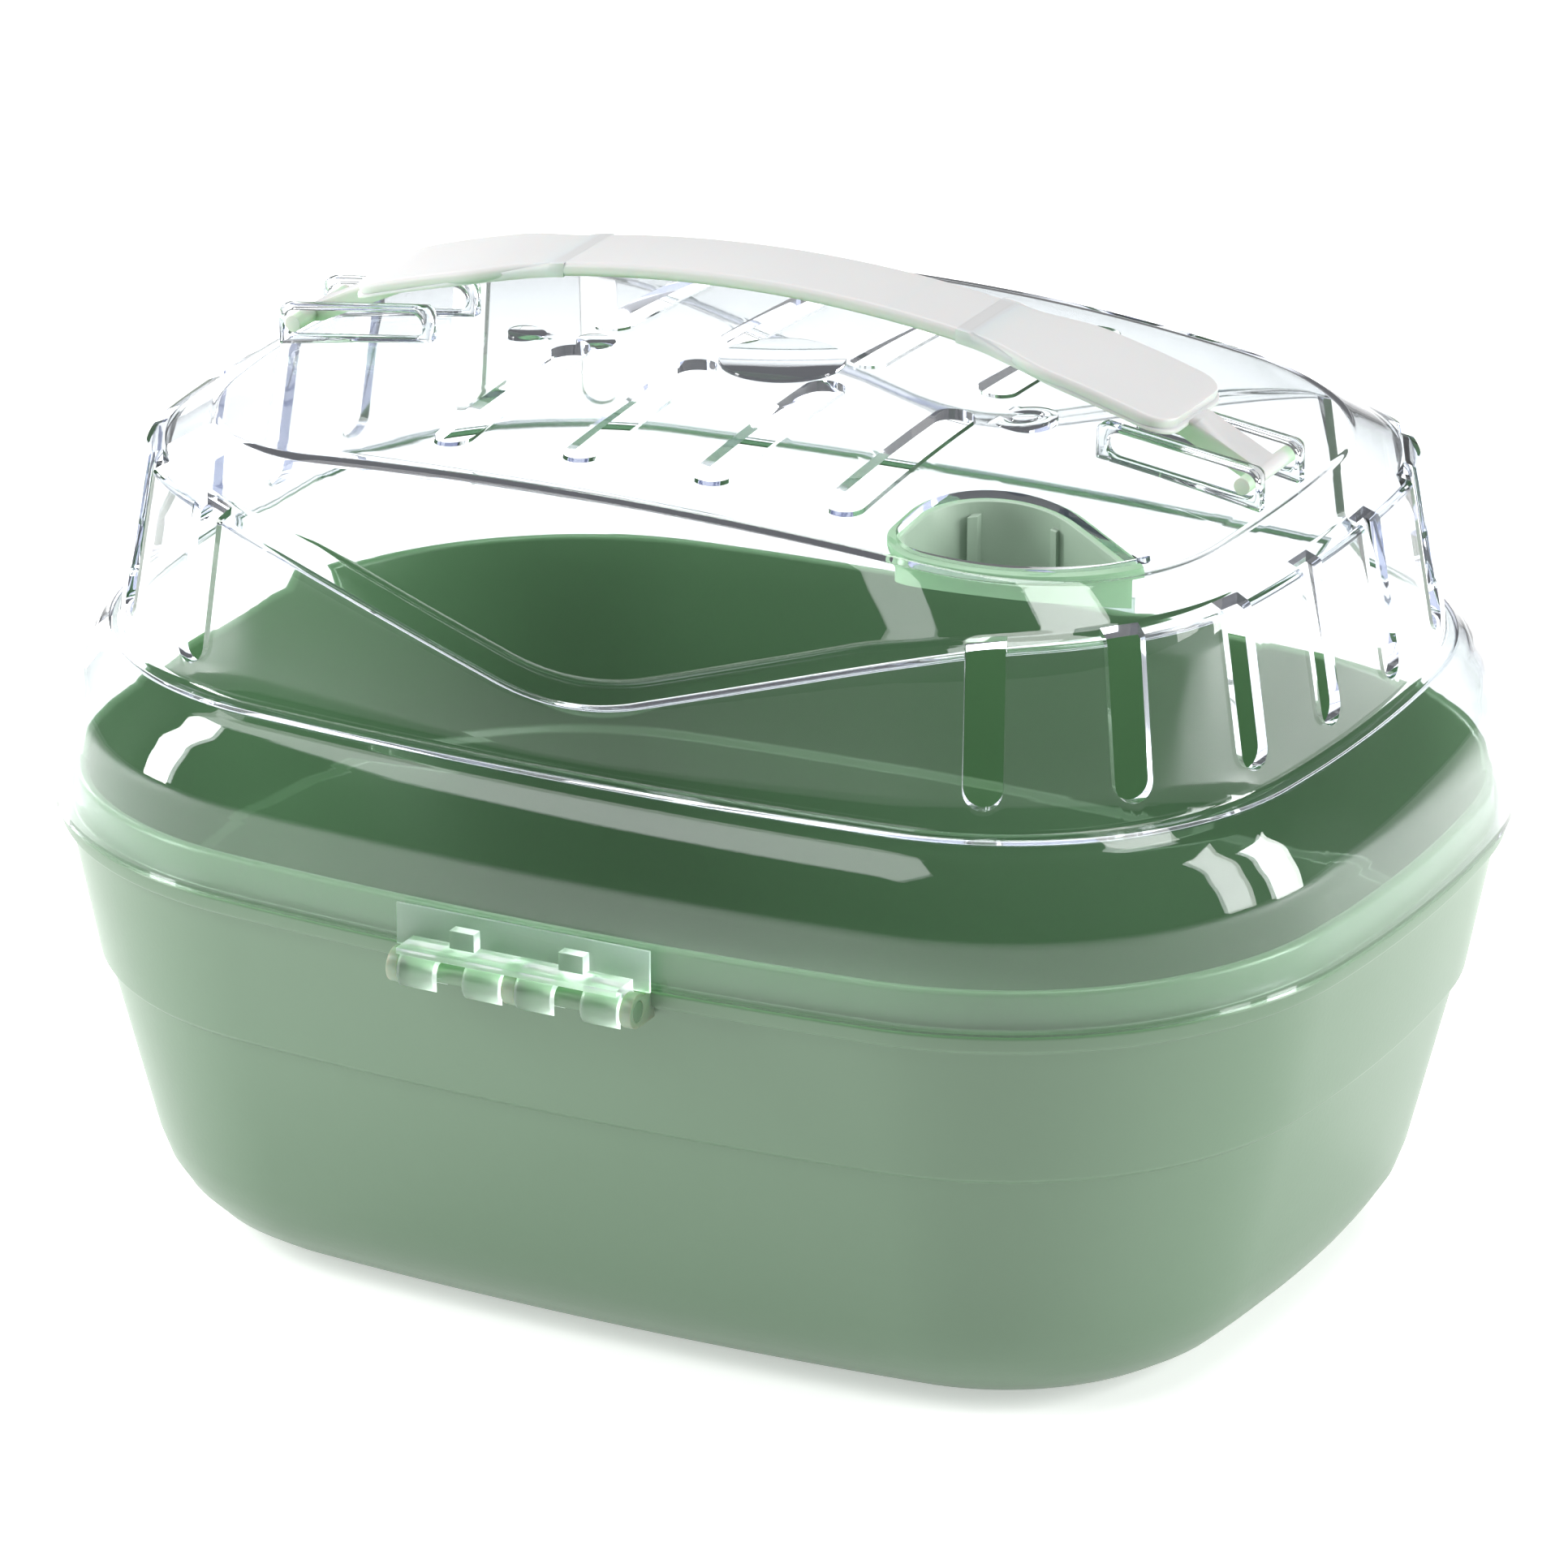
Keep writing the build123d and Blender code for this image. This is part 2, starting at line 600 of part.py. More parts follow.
def scoop(lift):
    """Everything above the cup's sloping bottom, raised by lift."""
    front = -ROOF_HALF_WIDTH + PORT_MARGIN
    back = -PORT_BACK - PORT_BACK_RADIUS / 2
    front_z = roof_height(CUP_CENTRE_X, front) - CUP_FRONT_DEPTH + lift
    back_z = roof_height(CUP_CENTRE_X, back) - CUP_DEPTH + lift
    slope = (front_z - back_z) / (back - front)
    reach = 30.0
    outline = Polyline(
        (front - reach, front_z + slope * reach),
        (back + reach, back_z - slope * reach),
        (back + reach, ROOF_TOP),
        (front - reach, ROOF_TOP),
        close=True,
    )
    return Pos(PORT_LEFT - reach, 0, 0) * extrude(
        Plane.YZ * make_face(outline), PORT_RIGHT - PORT_LEFT + 2 * reach
    )


def make_feeder_cup():
    """Green scoop-shaped cup that closes the port from below and is filled through it."""
    low = ROOF_TOP - CUP_DEPTH - 25
    shell = port_column(CUP_FIT, low, ROOF_TOP) & ball(-CUP_NECK_DROP) & scoop(0.0)
    flange = port_column(CUP_FIT - CUP_FLANGE_REACH, low, ROOF_TOP) & ball(-LID_WALL)
    flange -= ball(-LID_WALL - CUP_FLANGE_THICKNESS)
    cup = shell + flange
    inside = port_column(CUP_FIT + CUP_WALL, low, ROOF_TOP) & scoop(CUP_WALL)
    cup -= inside
    ribs = inside - port_column(CUP_FIT + CUP_WALL + CUP_RIB_DEPTH, low, ROOF_TOP)
    ribs = ribs & ball(-CUP_NECK_DROP - CUP_RIB_DROP)
    for i in (-1, 0, 1):
        x = CUP_CENTRE_X + i * CUP_RIB_PITCH
        half = CUP_RIB_WIDTH / 2
        cup += ribs & block(x - half, x + half, -CUP_RIB_FRONT, 0, low, ROOF_TOP)
    return cup


# ------------------------------------------------------------------ rails and handle
def rail_top(x):
    """Height of a rail's top edge at distance x from the middle."""
    start = roof_height(RAIL_INNER, RAIL_SPACING / 2) + RAIL_INNER_HEIGHT
    return start - (x - RAIL_INNER) * tan(radians(RAIL_SLOPE))


def pin_place():
    """X distance and height of a handle pin at rest, near the outer end of its slot."""
    x = RAIL_INNER + RAIL_LENGTH - PIN_SETBACK
    return x, rail_top(x) - PIN_DROP


def make_rail(end, side):
    """Clear rail with a lengthwise slot that guides a handle pin."""
    x0, x1 = RAIL_INNER, RAIL_INNER + RAIL_LENGTH
    low = roof_height(x1, RAIL_SPACING / 2) - 4
    outline = Polyline(
        (x0, low), (x1, low), (x1, rail_top(x1)), (x0, rail_top(x0)), close=True
    )
    plate = extrude(Plane.XZ * make_face(outline), RAIL_THICKNESS / 2, both=True)
    upright = plate.edges().filter_by(Axis.Y).group_by(Axis.Z)[-2:]
    plate = fillet(upright[0] + upright[1], RAIL_CORNER_RADIUS)
    slot_x0 = x0 + PIN_SLOT_INSET
    slot_x1 = pin_place()[0]
    half = PIN_SLOT_HEIGHT / 2
    fall = (slot_x1 - slot_x0) * tan(radians(RAIL_SLOPE))
    z1 = pin_place()[1]
    length = hypot(slot_x1 - slot_x0, fall)
    middle = ((slot_x0 + slot_x1) / 2, z1 + fall / 2)
    window = Box(length, RAIL_THICKNESS * 2, 2 * half)
    window = Pos(middle[0], 0, middle[1]) * Rot(0, RAIL_SLOPE, 0) * window
    for x, z in ((slot_x0, z1 + fall), (slot_x1, z1)):
        window += rod_along_y(-RAIL_THICKNESS, RAIL_THICKNESS, x, z, half)
    rail = Pos(0, side * RAIL_SPACING / 2, 0) * (plate - window)
    rail -= ball(0.0)
    return rail if end > 0 else mirror(rail, Plane.YZ)


def strap_radius():
    """Radius of the strap's top face."""
    return (STRAP_HALF_LENGTH**2 + STRAP_RISE**2) / (2 * STRAP_RISE)


def strap_top():
    """Height of the strap's top at its middle."""
    return ROOF_TOP + STRAP_GAP + STRAP_THICKNESS


def strap_band(plan):
    """The arched strap over a plan shape."""
    radius = strap_radius()
    centre = strap_top() - radius
    ring = rod_along_y(-PADDLE_WIDTH, PADDLE_WIDTH, 0, centre, radius)
    ring -= rod_along_y(-PADDLE_WIDTH, PADDLE_WIDTH, 0, centre, radius - STRAP_THICKNESS)
    return ring & extrude(Pos(0, 0, ROOF_TOP - RAIL_INNER_HEIGHT) * plan, strap_top() - ROOF_TOP + 20)


def make_grip():
    """Middle of the handle strap."""
    return strap_band(Rectangle(2 * GRIP_HALF_LENGTH - FLEX_GAP, STRAP_WIDTH))


def arm_plan():
    """Plan of the right-hand end of the strap, which widens to a rounded paddle."""
    start = GRIP_HALF_LENGTH + FLEX_GAP / 2
    taper = PADDLE_START - PADDLE_TAPER
    edge = [
        (start, STRAP_WIDTH / 2),
        (taper, STRAP_WIDTH / 2),
        (PADDLE_START, PADDLE_WIDTH / 2),
        (STRAP_HALF_LENGTH, PADDLE_WIDTH / 2),
    ]
    other = [(x, -y) for x, y in reversed(edge)]
    plan = make_face(Polyline(*edge, *other, close=True))
    by_length = plan.vertices().group_by(Axis.X)
    plan = fillet(by_length[1] + by_length[2], PADDLE_BLEND_RADIUS)
    return fillet(plan.vertices().group_by(Axis.X)[-1], PADDLE_CORNER_RADIUS)


def strap_underside(x):
    """Height of the strap's underside at distance x from the middle."""
    radius = strap_radius()
    return strap_top() - radius + sqrt((radius - STRAP_THICKNESS) ** 2 - x**2)


def make_arm(end):
    """End of the strap with the neck and the cross pin that slides in two rails."""
    arm = strap_band(arm_plan())
    pin_x, pin_z = pin_place()
    pin_radius = PIN_DIAMETER / 2
    neck_start = STRAP_HALF_LENGTH - NECK_LENGTH
    neck_end = STRAP_HALF_LENGTH - NECK_CLEAR
    under = strap_underside((neck_start + neck_end) / 2)
    outline = Polyline(
        (neck_start, under + STRAP_THICKNESS / 2),
        (neck_end, under + STRAP_THICKNESS / 3),
        (pin_x, pin_z + pin_radius),
        (pin_x, pin_z - pin_radius),
        (pin_x - NECK_THICKNESS, pin_z - pin_radius / 2),
        (neck_start + NECK_THICKNESS, under - NECK_THICKNESS / 2),
        close=True,
    )
    arm += extrude(Plane.XZ * make_face(outline), NECK_WIDTH / 2, both=True)
    reach = RAIL_SPACING / 2 + RAIL_THICKNESS / 2 + PIN_OVERHANG
    arm += rod_along_y(-reach, reach, pin_x, pin_z, pin_radius)
    return arm if end > 0 else mirror(arm, Plane.YZ)


# ------------------------------------------------------------------ output
def parts():
    """Every piece by node name."""
    pieces = {"tub": make_tub(), "lid": make_lid(), "feeder_cup": make_feeder_cup()}
    for name, side in (("front", -1), ("rear", 1)):
        pieces[name + "_hinge_bracket"] = make_bracket(side)
        pieces[name + "_hinge_rod"] = make_rod(side)
        pieces[name + "_clip_plate"] = make_clip_plate(side)
        for end_name, end in (("left", -1), ("right", 1)):
            pieces[f"{name}_{end_name}_rail"] = make_rail(end, side)
    pieces["handle_grip"] = make_grip()
    pieces["handle_arm_left"] = make_arm(-1)
    pieces["handle_arm_right"] = make_arm(1)
    return pieces


os.makedirs("parts", exist_ok=True)
for node, solid in parts().items():
    export_step(solid, f"parts/{node}.step")
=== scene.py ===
import json
import logging
from dataclasses import dataclass
from enum import Enum
from math import asin, atan2, cos, hypot, pi, radians, sin, sqrt, tan

import bmesh
import bpy
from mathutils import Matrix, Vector

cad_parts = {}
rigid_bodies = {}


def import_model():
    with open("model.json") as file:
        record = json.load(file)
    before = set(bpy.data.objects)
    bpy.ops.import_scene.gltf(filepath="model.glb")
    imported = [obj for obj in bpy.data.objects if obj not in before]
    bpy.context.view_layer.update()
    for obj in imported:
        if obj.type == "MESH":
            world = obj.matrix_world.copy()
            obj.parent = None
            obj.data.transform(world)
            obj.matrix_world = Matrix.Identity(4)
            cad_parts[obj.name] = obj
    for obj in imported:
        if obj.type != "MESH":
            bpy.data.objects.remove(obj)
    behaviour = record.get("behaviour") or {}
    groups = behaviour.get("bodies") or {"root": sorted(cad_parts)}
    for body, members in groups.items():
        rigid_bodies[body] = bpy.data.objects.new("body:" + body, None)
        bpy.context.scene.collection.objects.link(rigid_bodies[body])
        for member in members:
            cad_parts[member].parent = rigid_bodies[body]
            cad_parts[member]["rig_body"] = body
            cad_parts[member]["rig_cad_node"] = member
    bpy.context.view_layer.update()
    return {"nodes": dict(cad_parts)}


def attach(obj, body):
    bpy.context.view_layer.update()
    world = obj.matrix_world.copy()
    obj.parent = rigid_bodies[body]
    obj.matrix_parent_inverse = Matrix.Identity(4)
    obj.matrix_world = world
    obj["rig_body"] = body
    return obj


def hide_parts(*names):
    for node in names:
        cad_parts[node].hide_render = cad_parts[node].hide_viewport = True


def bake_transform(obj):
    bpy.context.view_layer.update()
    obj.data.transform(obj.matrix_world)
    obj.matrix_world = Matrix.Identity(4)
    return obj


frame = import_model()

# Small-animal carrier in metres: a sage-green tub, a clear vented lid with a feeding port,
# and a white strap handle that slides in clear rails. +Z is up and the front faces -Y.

LOG = logging.getLogger("carrier")
Ring = list[Vector]


# ------------------------------------------------------------------ working tools
def deselect_all() -> None:
    """Leave nothing selected, so that the next operator acts only on its own piece."""
    if bpy.context.object and bpy.context.object.mode != "OBJECT":
        bpy.ops.object.mode_set(mode="OBJECT")
    bpy.ops.object.select_all(action="DESELECT")


def make_active(piece: bpy.types.Object) -> None:
    """Select one object alone and make it active."""
    deselect_all()
    piece.select_set(True)
    bpy.context.view_layer.objects.active = piece


def apply_modifier(piece: bpy.types.Object, modifier: bpy.types.Modifier) -> None:
    """Apply a modifier to its piece."""
    make_active(piece)
    bpy.ops.object.modifier_apply(modifier=modifier.name)


def smooth_by_angle(piece: bpy.types.Object, degrees_limit: float) -> None:
    """Shade a piece smooth except over edges sharper than a limit.

    Args:
        piece: The object to shade.
        degrees_limit: Edges that turn by more than this stay sharp.
    """
    make_active(piece)
    bpy.ops.object.shade_smooth_by_angle(angle=radians(degrees_limit))


def face_outwards(piece: bpy.types.Object) -> None:
    """Merge doubles and recalculate a closed piece's normals so that they point outwards."""
    make_active(piece)
    bpy.ops.object.mode_set(mode="EDIT")
    bpy.ops.mesh.select_all(action="SELECT")
    bpy.ops.mesh.remove_doubles(threshold=1e-6)
    bpy.ops.mesh.normals_make_consistent(inside=False)
    bpy.ops.object.mode_set(mode="OBJECT")


def round_edges(piece: bpy.types.Object, width: float, segments: int, angle: float) -> None:
    """Round a piece's sharp edges with an applied Bevel modifier.

    Args:
        piece: The object to round.
        width: Width of the rounding.
        segments: Strips in the rounding.
        angle: Only edges that turn by more than this many degrees are rounded.
    """
    modifier = piece.modifiers.new("rounding", "BEVEL")
    modifier.width = width
    modifier.segments = segments
    modifier.limit_method = "ANGLE"
    modifier.angle_limit = radians(angle)
    modifier.use_clamp_overlap = True
    apply_modifier(piece, modifier)


def combine(piece: bpy.types.Object, tools: list[bpy.types.Object], operation: str) -> None:
    """Cut a group of tools out of a piece, or merge them into it, and delete them.

    Args:
        piece: The object that is changed.
        tools: Closed objects that don't touch each other.
        operation: "DIFFERENCE" to cut or "UNION" to merge.
    """
    deselect_all()
    for each in tools:
        each.select_set(True)
    bpy.context.view_layer.objects.active = tools[0]
    if len(tools) > 1:
        bpy.ops.object.join()
    tool = bpy.context.object
    modifier = piece.modifiers.new("combining", "BOOLEAN")
    modifier.operation = operation
    modifier.solver = "MANIFOLD"
    modifier.object = tool
    apply_modifier(piece, modifier)
    bpy.data.objects.remove(tool, do_unlink=True)


def dress(piece: bpy.types.Object, material: bpy.types.Material) -> None:
    """Give a piece one material all over."""
    piece.data.materials.clear()
    piece.data.materials.append(material)


def softened_copy(node: str, name: str, rounding: float) -> bpy.types.Object:
    """Copy a CAD node, merge its loose triangles and round its edges as a moulding's are.

    Args:
        node: The CAD node to copy.
        name: Name of the new piece.
        rounding: Width of the edge rounding.

    Returns:
        The new piece, with its place in its mesh.
    """
    make_active(frame["nodes"][node])
    bpy.ops.object.duplicate()
    piece = bpy.context.object
    piece.name = name
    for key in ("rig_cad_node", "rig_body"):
        if key in piece:
            del piece[key]
    piece.parent = None
    bpy.ops.object.mode_set(mode="EDIT")
    bpy.ops.mesh.select_all(action="SELECT")
    bpy.ops.mesh.remove_doubles(threshold=2e-6)
    bpy.ops.mesh.dissolve_limited(angle_limit=radians(1.0))
    bpy.ops.object.mode_set(mode="OBJECT")
    round_edges(piece, rounding, 2, 35)
    smooth_by_angle(piece, 35)
    return piece


def rounded_run(
    bends: list[tuple[Vector, float]], splits: list[int], steps: int, most: float = 0.49
) -> Ring:
    """Follow a run of straight stretches whose corners are rounded by true arcs.

    Args:
        bends: Corner points with their radii; the first and last radius are ignored.
        splits: Number of strips in each straight stretch.
        steps: Strips in each arc.
        most: The largest share of a straight stretch that one arc may use up.

    Returns:
        Points from the first corner to the last, always the same number of them.
    """
    points = [bend[0] for bend in bends]
    run = [points[0]]
    for index in range(1, len(points)):
        here = points[index]
        before = (here - points[index - 1]).normalized()
        reach_back = (here - points[index - 1]).length
        start = run[-1]
        if index == len(points) - 1:
            run += [start.lerp(here, (k + 1) / splits[index - 1]) for k in range(splits[index - 1])]
            break
        after = (points[index + 1] - here).normalized()
        reach_on = (points[index + 1] - here).length
        turn = max(before.angle(after), 1e-4)
        touch = min(bends[index][1] * tan(turn / 2), most * reach_back, most * reach_on)
        radius = touch / tan(turn / 2)
        begin = here - before * touch
        run += [start.lerp(begin, (k + 1) / splits[index - 1]) for k in range(splits[index - 1])]
        inward = (after - before * before.dot(after)).normalized()
        for k in range(1, steps + 1):
            angle = turn * k / steps
            run.append(begin + before * (radius * sin(angle)) + inward * (radius * (1 - cos(angle))))
    return run


class RingSurface:
    """A wall drawn upwards ring by ring from a circle, every ring with the same columns."""

    def __init__(self, name: str, first: Ring) -> None:
        """Add the first ring.

        Args:
            name: Name of the piece.
            first: Points of the first ring.
        """
        deselect_all()
        bpy.ops.mesh.primitive_circle_add(vertices=len(first), radius=0.1)
        self.piece = bpy.context.object
        self.piece.name = name
        bpy.ops.object.mode_set(mode="EDIT")
        mesh = bmesh.from_edit_mesh(self.piece.data)
        column = mesh.verts.layers.int.new("column")
        for index, vertex in enumerate(mesh.verts):
            vertex[column] = index
        bpy.ops.mesh.select_all(action="SELECT")
        self._place(first)

    def _place(self, ring: Ring) -> None:
        """Put the selected vertices on a ring's points."""
        mesh = bmesh.from_edit_mesh(self.piece.data)
        column = mesh.verts.layers.int["column"]
        for vertex in mesh.verts:
            if vertex.select:
                vertex.co = ring[vertex[column]]
        bmesh.update_edit_mesh(self.piece.data)

    def grow(self, ring: Ring) -> None:
        """Extrude the last ring and put the new one in place."""
        bpy.ops.mesh.extrude_edges_indiv()
        self._place(ring)

    def close(self) -> None:
        """Fill the last ring."""
        bpy.ops.mesh.edge_face_add()

    def finish(self) -> bpy.types.Object:
        """Leave edit mode and hand the piece over."""
        bpy.ops.object.mode_set(mode="OBJECT")
        layer = self.piece.data.attributes.get("column")
        if layer:
            self.piece.data.attributes.remove(layer)
        return self.piece


# ------------------------------------------------------------------ plan outlines
@dataclass(frozen=True)
class Column:
    """One upright line of a wall: the centre of its plan arc, the arc's radius and an angle."""

    x: float
    y: float
    radius: float
    angle: float

    def at(self, inset: float, height: float) -> Vector:
        """Point on this column, moved in from the outline by inset."""
        reach = self.radius - inset
        return Vector((self.x + reach * cos(self.angle), self.y + reach * sin(self.angle), height))


@dataclass(frozen=True)
class PlanOutline:
    """Rounded rectangle with bulged sides: the plan shape of the tub, the lid and the roof."""

    half_length: float
    half_width: float
    side_radius: float
    end_radius: float
    corner_radius: float
    end_strips: int = 26
    corner_strips: int = 30
    side_strips: int = 76

    def corner(self) -> tuple[float, float, float, float]:
        """Centre of the first corner arc and the angles at which it starts and ends."""
        side_y = self.half_width - self.side_radius
        end_x = self.half_length - self.end_radius
        to_side = self.side_radius - self.corner_radius
        to_end = self.end_radius - self.corner_radius
        span = hypot(end_x, side_y)
        along = (to_side**2 - to_end**2 + span**2) / (2 * span)
        across = sqrt(to_side**2 - along**2)
        ux, uy = end_x / span, -side_y / span
        x, y = along * ux - across * uy, side_y + along * uy + across * ux
        if y < 0:
            x, y = along * ux + across * uy, side_y + along * uy - across * ux
        return x, y, atan2(y, x - end_x), atan2(y - side_y, x)

    def columns(self) -> list[Column]:
        """Columns round the outline, anticlockwise from the right end."""
        x, y, low, high = self.corner()
        side_y = self.half_width - self.side_radius
        end_x = self.half_length - self.end_radius
        arcs = [
            (end_x, 0.0, self.end_radius, -low, low, self.end_strips),
            (x, y, self.corner_radius, low, high, self.corner_strips),
            (0.0, side_y, self.side_radius, high, pi - high, self.side_strips),
            (-x, y, self.corner_radius, pi - high, pi - low, self.corner_strips),
            (-end_x, 0.0, self.end_radius, pi - low, pi + low, self.end_strips),
            (-x, -y, self.corner_radius, pi + low, pi + high, self.corner_strips),
            (0.0, -side_y, self.side_radius, pi + high, 2 * pi - high, self.side_strips),
            (x, -y, self.corner_radius, 2 * pi - high, 2 * pi - low, self.corner_strips),
        ]
        return [
            Column(cx, cy, radius, start + (end - start) * k / strips)
            for cx, cy, radius, start, end, strips in arcs
            for k in range(strips)
        ]


@dataclass(frozen=True)
class Dome:
    """The roof's spherical surface."""

    top: float = 0.1901
    radius: float = 0.604

    def height(self, x: float, y: float) -> float:
        """Height of the roof over a plan point."""
        return self.top - self.radius + sqrt(self.radius**2 - x * x - y * y)


RIM = PlanOutline(0.148, 0.1125, 0.7844, 0.3431, 0.079)
ROOF_EDGE = PlanOutline(0.1155, 0.0783, 0.6468, 0.2975, 0.05)
DOME = Dome()


# ------------------------------------------------------------------ finishes
def build_grain_group() -> bpy.types.NodeTree:
    """Group for moulded plastic: a fine grain, slow flow waves and a soft tone mask."""
    group = bpy.data.node_groups.new("moulded grain", "ShaderNodeTree")
    face = group.interface
    face.new_socket("Grain Scale", in_out="INPUT", socket_type="NodeSocketFloat")
    face.new_socket("Wave Scale", in_out="INPUT", socket_type="NodeSocketFloat")
    face.new_socket("Wave Share", in_out="INPUT", socket_type="NodeSocketFloat")
    face.new_socket("Height", in_out="OUTPUT", socket_type="NodeSocketFloat")
    face.new_socket("Tone", in_out="OUTPUT", socket_type="NodeSocketFloat")
    nodes, links = group.nodes, group.links
    inside = nodes.new("NodeGroupInput")
    outside = nodes.new("NodeGroupOutput")
    place = nodes.new("ShaderNodeTexCoord")
    grain = nodes.new("ShaderNodeTexNoise")
    grain.inputs["Detail"].default_value = 3.0
    waves = nodes.new("ShaderNodeTexNoise")
    waves.inputs["Detail"].default_value = 2.0
    mix = nodes.new("ShaderNodeMix")
    for noise, scale in ((grain, "Grain Scale"), (waves, "Wave Scale")):
        links.new(place.outputs["Object"], noise.inputs["Vector"])
        links.new(inside.outputs[scale], noise.inputs["Scale"])
    links.new(inside.outputs["Wave Share"], mix.inputs["Factor"])
    links.new(grain.outputs["Fac"], mix.inputs["A"])
    links.new(waves.outputs["Fac"], mix.inputs["B"])
    links.new(mix.outputs["Result"], outside.inputs["Height"])
    links.new(waves.outputs["Fac"], outside.inputs["Tone"])
    return group


@dataclass(frozen=True)
class MouldedPlastic:
    """Opaque moulded plastic with a faint grain and slow changes of tone."""

    name: str
    colour: tuple[float, float, float]
    worn_colour: tuple[float, float, float]
    roughness: float
    grain_scale: float
    wave_scale: float
    bump: float
    glow: float = 0.0
    coat: float = 0.0

    def build(self, group: bpy.types.NodeTree) -> bpy.types.Material:
        """Make the material.

        Args:
            group: The moulded grain group.

        Returns:
            The finished material.
        """
        material = bpy.data.materials.new(self.name)
        material.use_nodes = True
        nodes, links = material.node_tree.nodes, material.node_tree.links
        shader = nodes["Principled BSDF"]
        shader.inputs["IOR"].default_value = 1.49
        shader.inputs["Subsurface Weight"].default_value = self.glow
        shader.inputs["Subsurface Scale"].default_value = 0.004
        shader.inputs["Coat Weight"].default_value = self.coat
        shader.inputs["Coat Roughness"].default_value = 0.12
        grain = nodes.new("ShaderNodeGroup")
        grain.node_tree = group
        grain.inputs["Grain Scale"].default_value = self.grain_scale
        grain.inputs["Wave Scale"].default_value = self.wave_scale
        grain.inputs["Wave Share"].default_value = 0.55
        tone = nodes.new("ShaderNodeMix")
        tone.data_type = "RGBA"
        tone.inputs["A"].default_value = (*self.colour, 1.0)
        tone.inputs["B"].default_value = (*self.worn_colour, 1.0)
        links.new(grain.outputs["Tone"], tone.inputs["Factor"])
        links.new(tone.outputs["Result"], shader.inputs["Base Color"])
        gloss = nodes.new("ShaderNodeMapRange")
        gloss.inputs["From Min"].default_value = 0.3
        gloss.inputs["From Max"].default_value = 0.7
        gloss.inputs["To Min"].default_value = self.roughness - 0.03
        gloss.inputs["To Max"].default_value = self.roughness + 0.03
        links.new(grain.outputs["Tone"], gloss.inputs["Value"])
        links.new(gloss.outputs["Result"], shader.inputs["Roughness"])
        bump = nodes.new("ShaderNodeBump")
        bump.inputs["Strength"].default_value = self.bump
        bump.inputs["Distance"].default_value = 0.0004
        links.new(grain.outputs["Height"], bump.inputs["Height"])
        links.new(bump.outputs["Normal"], shader.inputs["Normal"])
        return material


